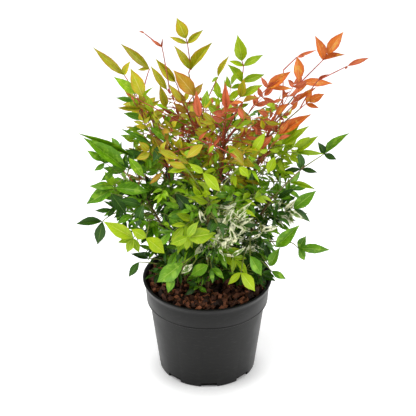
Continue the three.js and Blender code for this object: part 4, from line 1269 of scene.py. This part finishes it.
# cane, colour, how many, the box in which their tips fall, leaflet length
SHOOTS = [
    ("front", "cream", 3, (-30, -126, 225), (74, -98, 320), 33),
    ("low_right", "cream", 2, (50, -108, 225), (100, -64, 280), 33),
    ("front", "cream", 2, (0, -152, 288), (34, -146, 302), 22),
    ("middle", "coral", 3, (-30, -70, 400), (60, -10, 462), 17),
    ("right", "coral", 2, (60, -60, 400), (120, 0, 470), 17),
    ("back", "coral", 3, (-60, -30, 400), (10, 20, 446), 15),
    ("left", "gold", 3, (-100, -50, 390), (-40, 20, 460), 22),
    ("rear", "lime", 2, (-10, 140, 330), (60, 146, 380), 26),
    ("low_left", "dark", 7, (-100, -72, 164), (-50, 0, 212), 24),
    ("low_right", "dark", 7, (50, -72, 164), (100, 10, 212), 24),
    ("front", "green", 5, (-44, -78, 172), (44, -50, 205), 24),
    ("rear", "dark", 8, (-70, 30, 162), (80, 96, 205), 26),
]
for number, (cane, colour, count, near, far, leaf) in enumerate(SHOOTS):
    for k in range(count):
        tip = Vector([dice.uniform(a, b) for a, b in zip(near, far)])
        lean = (tip.z - COMPOST_TOP) / (cane_bows[cane].at(1).z - COMPOST_TOP)
        start = cane_bows[cane].at(max(0.05, min(1, lean * dice.uniform(0.6, 0.85))))
        Frond(bowed(start, tip, SHOOT_RISE), 0, leaf * dice.uniform(0.8, 1.15), colour,
              SHOOT_SEED + 53 * number + k, facing_light(tip, tip.y > BEHIND), longest=2).grow()
print("whole crown:", sum(map(len, leaflets.values())), "leaflets")
shown("boughs", boughs.mesh("boughs"), bough_rind,
      ["bough_" + row[0] for row in SPRAYS if row[7]], crease=50)
for tone, rind in (("red", red_rind), ("green", green_rind)):
    shown("twigs_" + tone, twigs[tone].mesh("twigs_" + tone), rind, [], crease=60)

# %% [markdown]
# ## One leaflet
# A leaflet is a pointed ellipse, folded a little along its midrib. It could be a flat card with a
# picture, but a card has no edge and no fold for the light to catch, so each is a thin closed
# form of six rings. Eight plain forms and eight twisted ones, each with a fold and a droop of its
# own, are enough: size, roll and tint vary as well, and nobody finds two alike.

# %% Leaflet forms
STATIONS = (0.05, 0.17, 0.34, 0.53, 0.72, 0.88)
THICKNESS = 0.012                # share of a leaflet's length
ARCH = 0.1                       # how far the blade arches up before it droops
TWIST_FROM, TWIST_LIFT = 0.3, 0.42      # where a twist starts, and how far it lifts the margins


def leaflet_form(name, fold, droop, twist, sway, wave):
    """A leaflet of unit length and width along +X, its upper side towards +Z."""
    ring = [(-1, 0), (-0.5, 1), (0, 1), (0.5, 1), (1, 0), (0, -1)]     # across, and which face
    points, marks = [(0, 0, 0)], [(0.5, 0)]
    for t in STATIONS:
        half = 0.5 * math.sin(math.pi * t ** 0.9) ** (1.0 + 0.3 * t)
        turn = twist * (t - TWIST_FROM)
        for u, face in ring:
            across = u * half
            skin = face * 0.5 * THICKNESS * (1 - u * u)
            lift = (fold + wave * math.sin(7 * t)) * abs(across) + skin
            y = across * math.cos(turn) - lift * math.sin(turn) + sway * t * t
            z = (across * math.sin(turn) * TWIST_LIFT + lift * math.cos(turn)
                 - droop * t * t + ARCH * t * (1 - t))
            points.append((t, y, z))
            marks.append((0.5 + 0.5 * u, t))
    points.append((1, sway, -droop))
    marks.append((0.5, 1))
    mesh = mesh_of(name, np.array(points) / MM, ringed_faces(len(STATIONS), len(ring)))
    chart = mesh.uv_layers.new(name="UVMap")
    for loop in mesh.loops:
        chart.data[loop.index].uv = marks[loop.vertex_index]
    return bpy.data.objects.new(name, mesh)      # it stays out of the scene


def form_collection(name, count, seed, fold, droop, twist, wave):
    """A set of forms whose fold, droop, twist and wave are drawn from the given ranges."""
    dice = random.Random(seed)
    forms = bpy.data.collections.new(name)
    for i in range(count):
        forms.objects.link(leaflet_form(
            f"{name}_{i}", dice.uniform(*fold), dice.uniform(*droop), dice.uniform(-twist, twist),
            dice.uniform(-0.06, 0.06), dice.uniform(0, wave)))
    return forms


plain_forms = form_collection("leaflet", 8, 3, (0.06, 0.3), (0.0, 0.16), 0.5, 0.1)
twisted_forms = form_collection("twisted_leaflet", 8, 5, (0.1, 0.45), (-0.1, 0.35), 1.6, 0.45)

# %% [markdown]
# Leaflets repeat by the thousand, so Geometry Nodes place them. The input is one point for each
# leaflet, with its turn, its size and its shade as attributes. The tree adds a small roll and a
# spread of size from a fixed seed, sets one of the forms on each point, and makes them real.

# %% Geometry nodes that hang leaflets
leaf_tree, given, leaf_inputs = group_with("hung_leaflets", {
    "Forms": "Collection", "Size": "Float", "Size Spread": "Float", "Roll": "Float",
    "Seed": "Int", "Finish": "Material"})
given = given.outputs
forms = add(leaf_tree, "GeometryNodeCollectionInfo", {
    "Collection": given["Forms"], "Separate Children": True, "Reset Children": True})
turn, extent = (
    add(leaf_tree, "GeometryNodeInputNamedAttribute", {"Name": label}, data_type="FLOAT_VECTOR")
    for label in ("turn", "extent"))
least = add(leaf_tree, "ShaderNodeMath", {
    0: given["Size"], 1: given["Size Spread"]}, operation="SUBTRACT")
spread = add(leaf_tree, "FunctionNodeRandomValue", {
    "Min": least, "Max": given["Size"], "Seed": given["Seed"]})
scaled = add(leaf_tree, "ShaderNodeVectorMath", {0: extent, "Scale": spread}, operation="SCALE")
least_roll = add(leaf_tree, "ShaderNodeMath", {0: given["Roll"], 1: -1.0}, operation="MULTIPLY")
roll = add(leaf_tree, "FunctionNodeRandomValue", {
    "Min": least_roll, "Max": given["Roll"], "Seed": given["Seed"]})
rolled = add(leaf_tree, "ShaderNodeCombineXYZ", {"X": roll})
attitude = add(leaf_tree, "FunctionNodeRotateRotation", {
    "Rotation": add(leaf_tree, "FunctionNodeEulerToRotation", {"Euler": turn}),
    "Rotate By": add(leaf_tree, "FunctionNodeEulerToRotation", {"Euler": rolled})},
    rotation_space="LOCAL")
hung = add(leaf_tree, "GeometryNodeInstanceOnPoints", {
    "Points": given["Geometry"], "Instance": forms, "Pick Instance": True,
    "Rotation": attitude, "Scale": scaled})
real = add(leaf_tree, "GeometryNodeRealizeInstances", {"Geometry": hung})
clad = add(leaf_tree, "GeometryNodeSetMaterial", {"Geometry": real, "Material": given["Finish"]})
add(leaf_tree, "NodeGroupOutput", {"Geometry": clad})


def leaflet_mesh(name, rows, values):
    """The mesh of all leaflets of one tint."""
    roots, turns, extents, shades = zip(*rows)
    mesh = bpy.data.meshes.new(name)
    mesh.from_pydata([tuple(root * MM) for root in roots], [], [])
    for label, kind, field, numbers in (
            ("turn", "FLOAT_VECTOR", "vector", np.array(turns)),
            ("extent", "FLOAT_VECTOR", "vector", np.array(extents) * MM),
            ("shade", "FLOAT", "value", np.array(shades))):
        mesh.attributes.new(label, kind, "POINT").data.foreach_set(field, numbers.ravel())
    return run_nodes(placed(name + "_roots", mesh), leaf_tree, leaf_inputs, values)


print("leaflet tree of", len(leaf_tree.nodes), "nodes")

# %% [markdown]
# ## Leaflet tints
# The blade is leathery and has a thin wax, so it is half glossy. Its midrib is a pale line, side
# veins leave it every few millimetres, the tint is a little uneven, and the margin of a young
# leaflet is flushed. The leaflet's chart gives the veins, and its shade sets it off from its
# neighbours. In autumn leaflets of every tint are on the plant at once, dealt out by the spray.

# %% Leaf material
# tint: darker blade, lighter blade, vein, margin, patches
TINTS = {
    "dark": ("#0c2c02", "#36640a", "#6c9038", "#143a04", "#4c7c18"),
    "green": ("#2f6600", "#70a40c", "#a8cc50", "#58900a", "#8cb82c"),
    "fresh": ("#548c00", "#9ccc10", "#cce45c", "#90b808", "#b8d83c"),
    "lime": ("#6e9800", "#a8c40c", "#d0e058", "#a4b40c", "#c0cc1c"),
    "gold": ("#8e9804", "#ccc01c", "#e4d870", "#c8841c", "#a4b818"),
    "olive": ("#888c04", "#c0b41c", "#d8d068", "#b8682c", "#a0a818"),
    "bronze": ("#90700c", "#bc9020", "#d8b860", "#b04c20", "#a89c20"),
    "orange": ("#bc5814", "#d87628", "#eeb070", "#b04016", "#d8a03c"),
    "coral": ("#a0421e", "#d87244", "#e8a078", "#a42c20", "#c48c38"),
    "cream": ("#2c5006", "#70942a", "#c8d898", "#dce0b0", "#faf8dc"),
}
VEINS = 8                        # pairs of side veins on a leaflet
# patches: their size in millimetres, the weight of the margin in them, their start, their strength
USUAL_PATCHES = (8, 0.0, 0.54, 0.75)
PATCHES = {
    "cream": (8, 0.25, 0.48, 1.0), "dark": (6, 0.1, 0.64, 0.7),
    "coral": (8, 0.0, 0.6, 0.5), "lime": (8, 0.0, 0.62, 0.5),
}


def leaf_material(kind):
    """The finish of the leaflets of one tint."""
    dark, light, vein, margin, patch = map(linear, TINTS[kind])
    size, weight, start, strength = PATCHES.get(kind, USUAL_PATCHES)
    material, tree, place = blank_material("leaf_blade_" + kind)
    chart = add(tree, "ShaderNodeUVMap", uv_map="UVMap")
    chart = add(tree, "ShaderNodeSeparateXYZ", {0: chart})
    offset = add(tree, "ShaderNodeMath", {0: chart.outputs["X"], 1: 0.5}, operation="SUBTRACT")
    across = add(tree, "ShaderNodeMath", {0: offset}, operation="ABSOLUTE")
    midrib = add(tree, "ShaderNodeMapRange", {
        "Value": across, "From Min": 0.012, "From Max": 0.045, "To Min": 1.0, "To Max": 0.0})
    slanted = add(tree, "ShaderNodeMath", {
        0: across, 1: -0.55, 2: chart.outputs["Y"]}, operation="MULTIPLY_ADD")
    counted = add(tree, "ShaderNodeMath", {
        0: slanted, 1: 2 * math.pi * VEINS}, operation="MULTIPLY")
    wave = add(tree, "ShaderNodeMath", {0: counted}, operation="SINE")
    veins = add(tree, "ShaderNodeMapRange", {
        "Value": wave, "From Min": 0.8, "From Max": 1.0, "To Min": 0.0, "To Max": 0.35})
    lines = add(tree, "ShaderNodeMath", {0: midrib, 1: veins}, operation="MAXIMUM")
    mottle = add(tree, "ShaderNodeTexNoise", {
        "Vector": place, "Scale": 1 / (14 * MM), "Detail": 3.0})
    own = add(tree, "ShaderNodeAttribute", attribute_name="shade")
    both = add(tree, "ShaderNodeMath", {
        0: own.outputs["Fac"], 1: 0.75, 2: mottle}, operation="MULTIPLY_ADD")
    share = add(tree, "ShaderNodeMapRange", {"Value": both, "From Min": 0.35, "From Max": 1.35})
    blade = add(tree, "ShaderNodeMix", {"Factor": share, "A": dark, "B": light},
                data_type="RGBA")
    clouds = add(tree, "ShaderNodeTexNoise", {
        "Vector": place, "Scale": 1 / (size * MM), "Detail": 2.0})
    weighted = add(tree, "ShaderNodeMath", {
        0: across, 1: weight, 2: clouds}, operation="MULTIPLY_ADD")
    patches = add(tree, "ShaderNodeMapRange", {
        "Value": weighted, "From Min": start, "From Max": start + 0.1,
        "To Min": 0.0, "To Max": strength})
    patched = add(tree, "ShaderNodeMix", {"Factor": patches, "A": blade, "B": patch},
                  data_type="RGBA")
    outward = add(tree, "ShaderNodeMath", {
        0: chart.outputs["Y"], 1: 0.22, 2: across}, operation="MULTIPLY_ADD")
    flush = add(tree, "ShaderNodeMapRange", {
        "Value": outward, "From Min": 0.38, "From Max": 0.66, "To Min": 0.0, "To Max": 0.7})
    flushed = add(tree, "ShaderNodeMix", {"Factor": flush, "A": patched, "B": margin},
                  data_type="RGBA")
    faint = add(tree, "ShaderNodeMath", {0: lines, 1: 0.6}, operation="MULTIPLY")
    colour = add(tree, "ShaderNodeMix", {"Factor": faint, "A": flushed, "B": vein},
                 data_type="RGBA")
    sunk = add(tree, "ShaderNodeMath", {0: 1.0, 1: lines}, operation="SUBTRACT")
    close_material(tree, colour, sunk, 0.25, Roughness=0.35, IOR=1.45, Specular_IOR_Level=0.3)
    return material


print(len(TINTS), "tints of leaflet, each with", VEINS, "pairs of veins")

# %% [markdown]
# Each tint gets its finish, and all its leaflets are hung as one piece. That piece stands for the
# foliage masses of its colour. The forms have done their work then, and are removed.

# %% Hang the leaflets
for number, kind in enumerate(PALETTES):
    blade = leaf_material(kind)
    mesh = leaflet_mesh("leaflets_" + kind, leaflets[kind], {
        "Forms": twisted_forms if kind == "cream" else plain_forms, "Size": 1.0,
        "Size Spread": SIZE_SPREAD, "Roll": 0.3, "Seed": 20 + number, "Finish": blade})
    shown("leaflets_" + kind, mesh, blade,
          ["foliage_" + row[0] for row in SPRAYS if row[10] == kind], crease=60)
for forms in (plain_forms, twisted_forms):
    for form in list(forms.objects):
        bpy.data.objects.remove(form)
    bpy.data.collections.remove(forms)
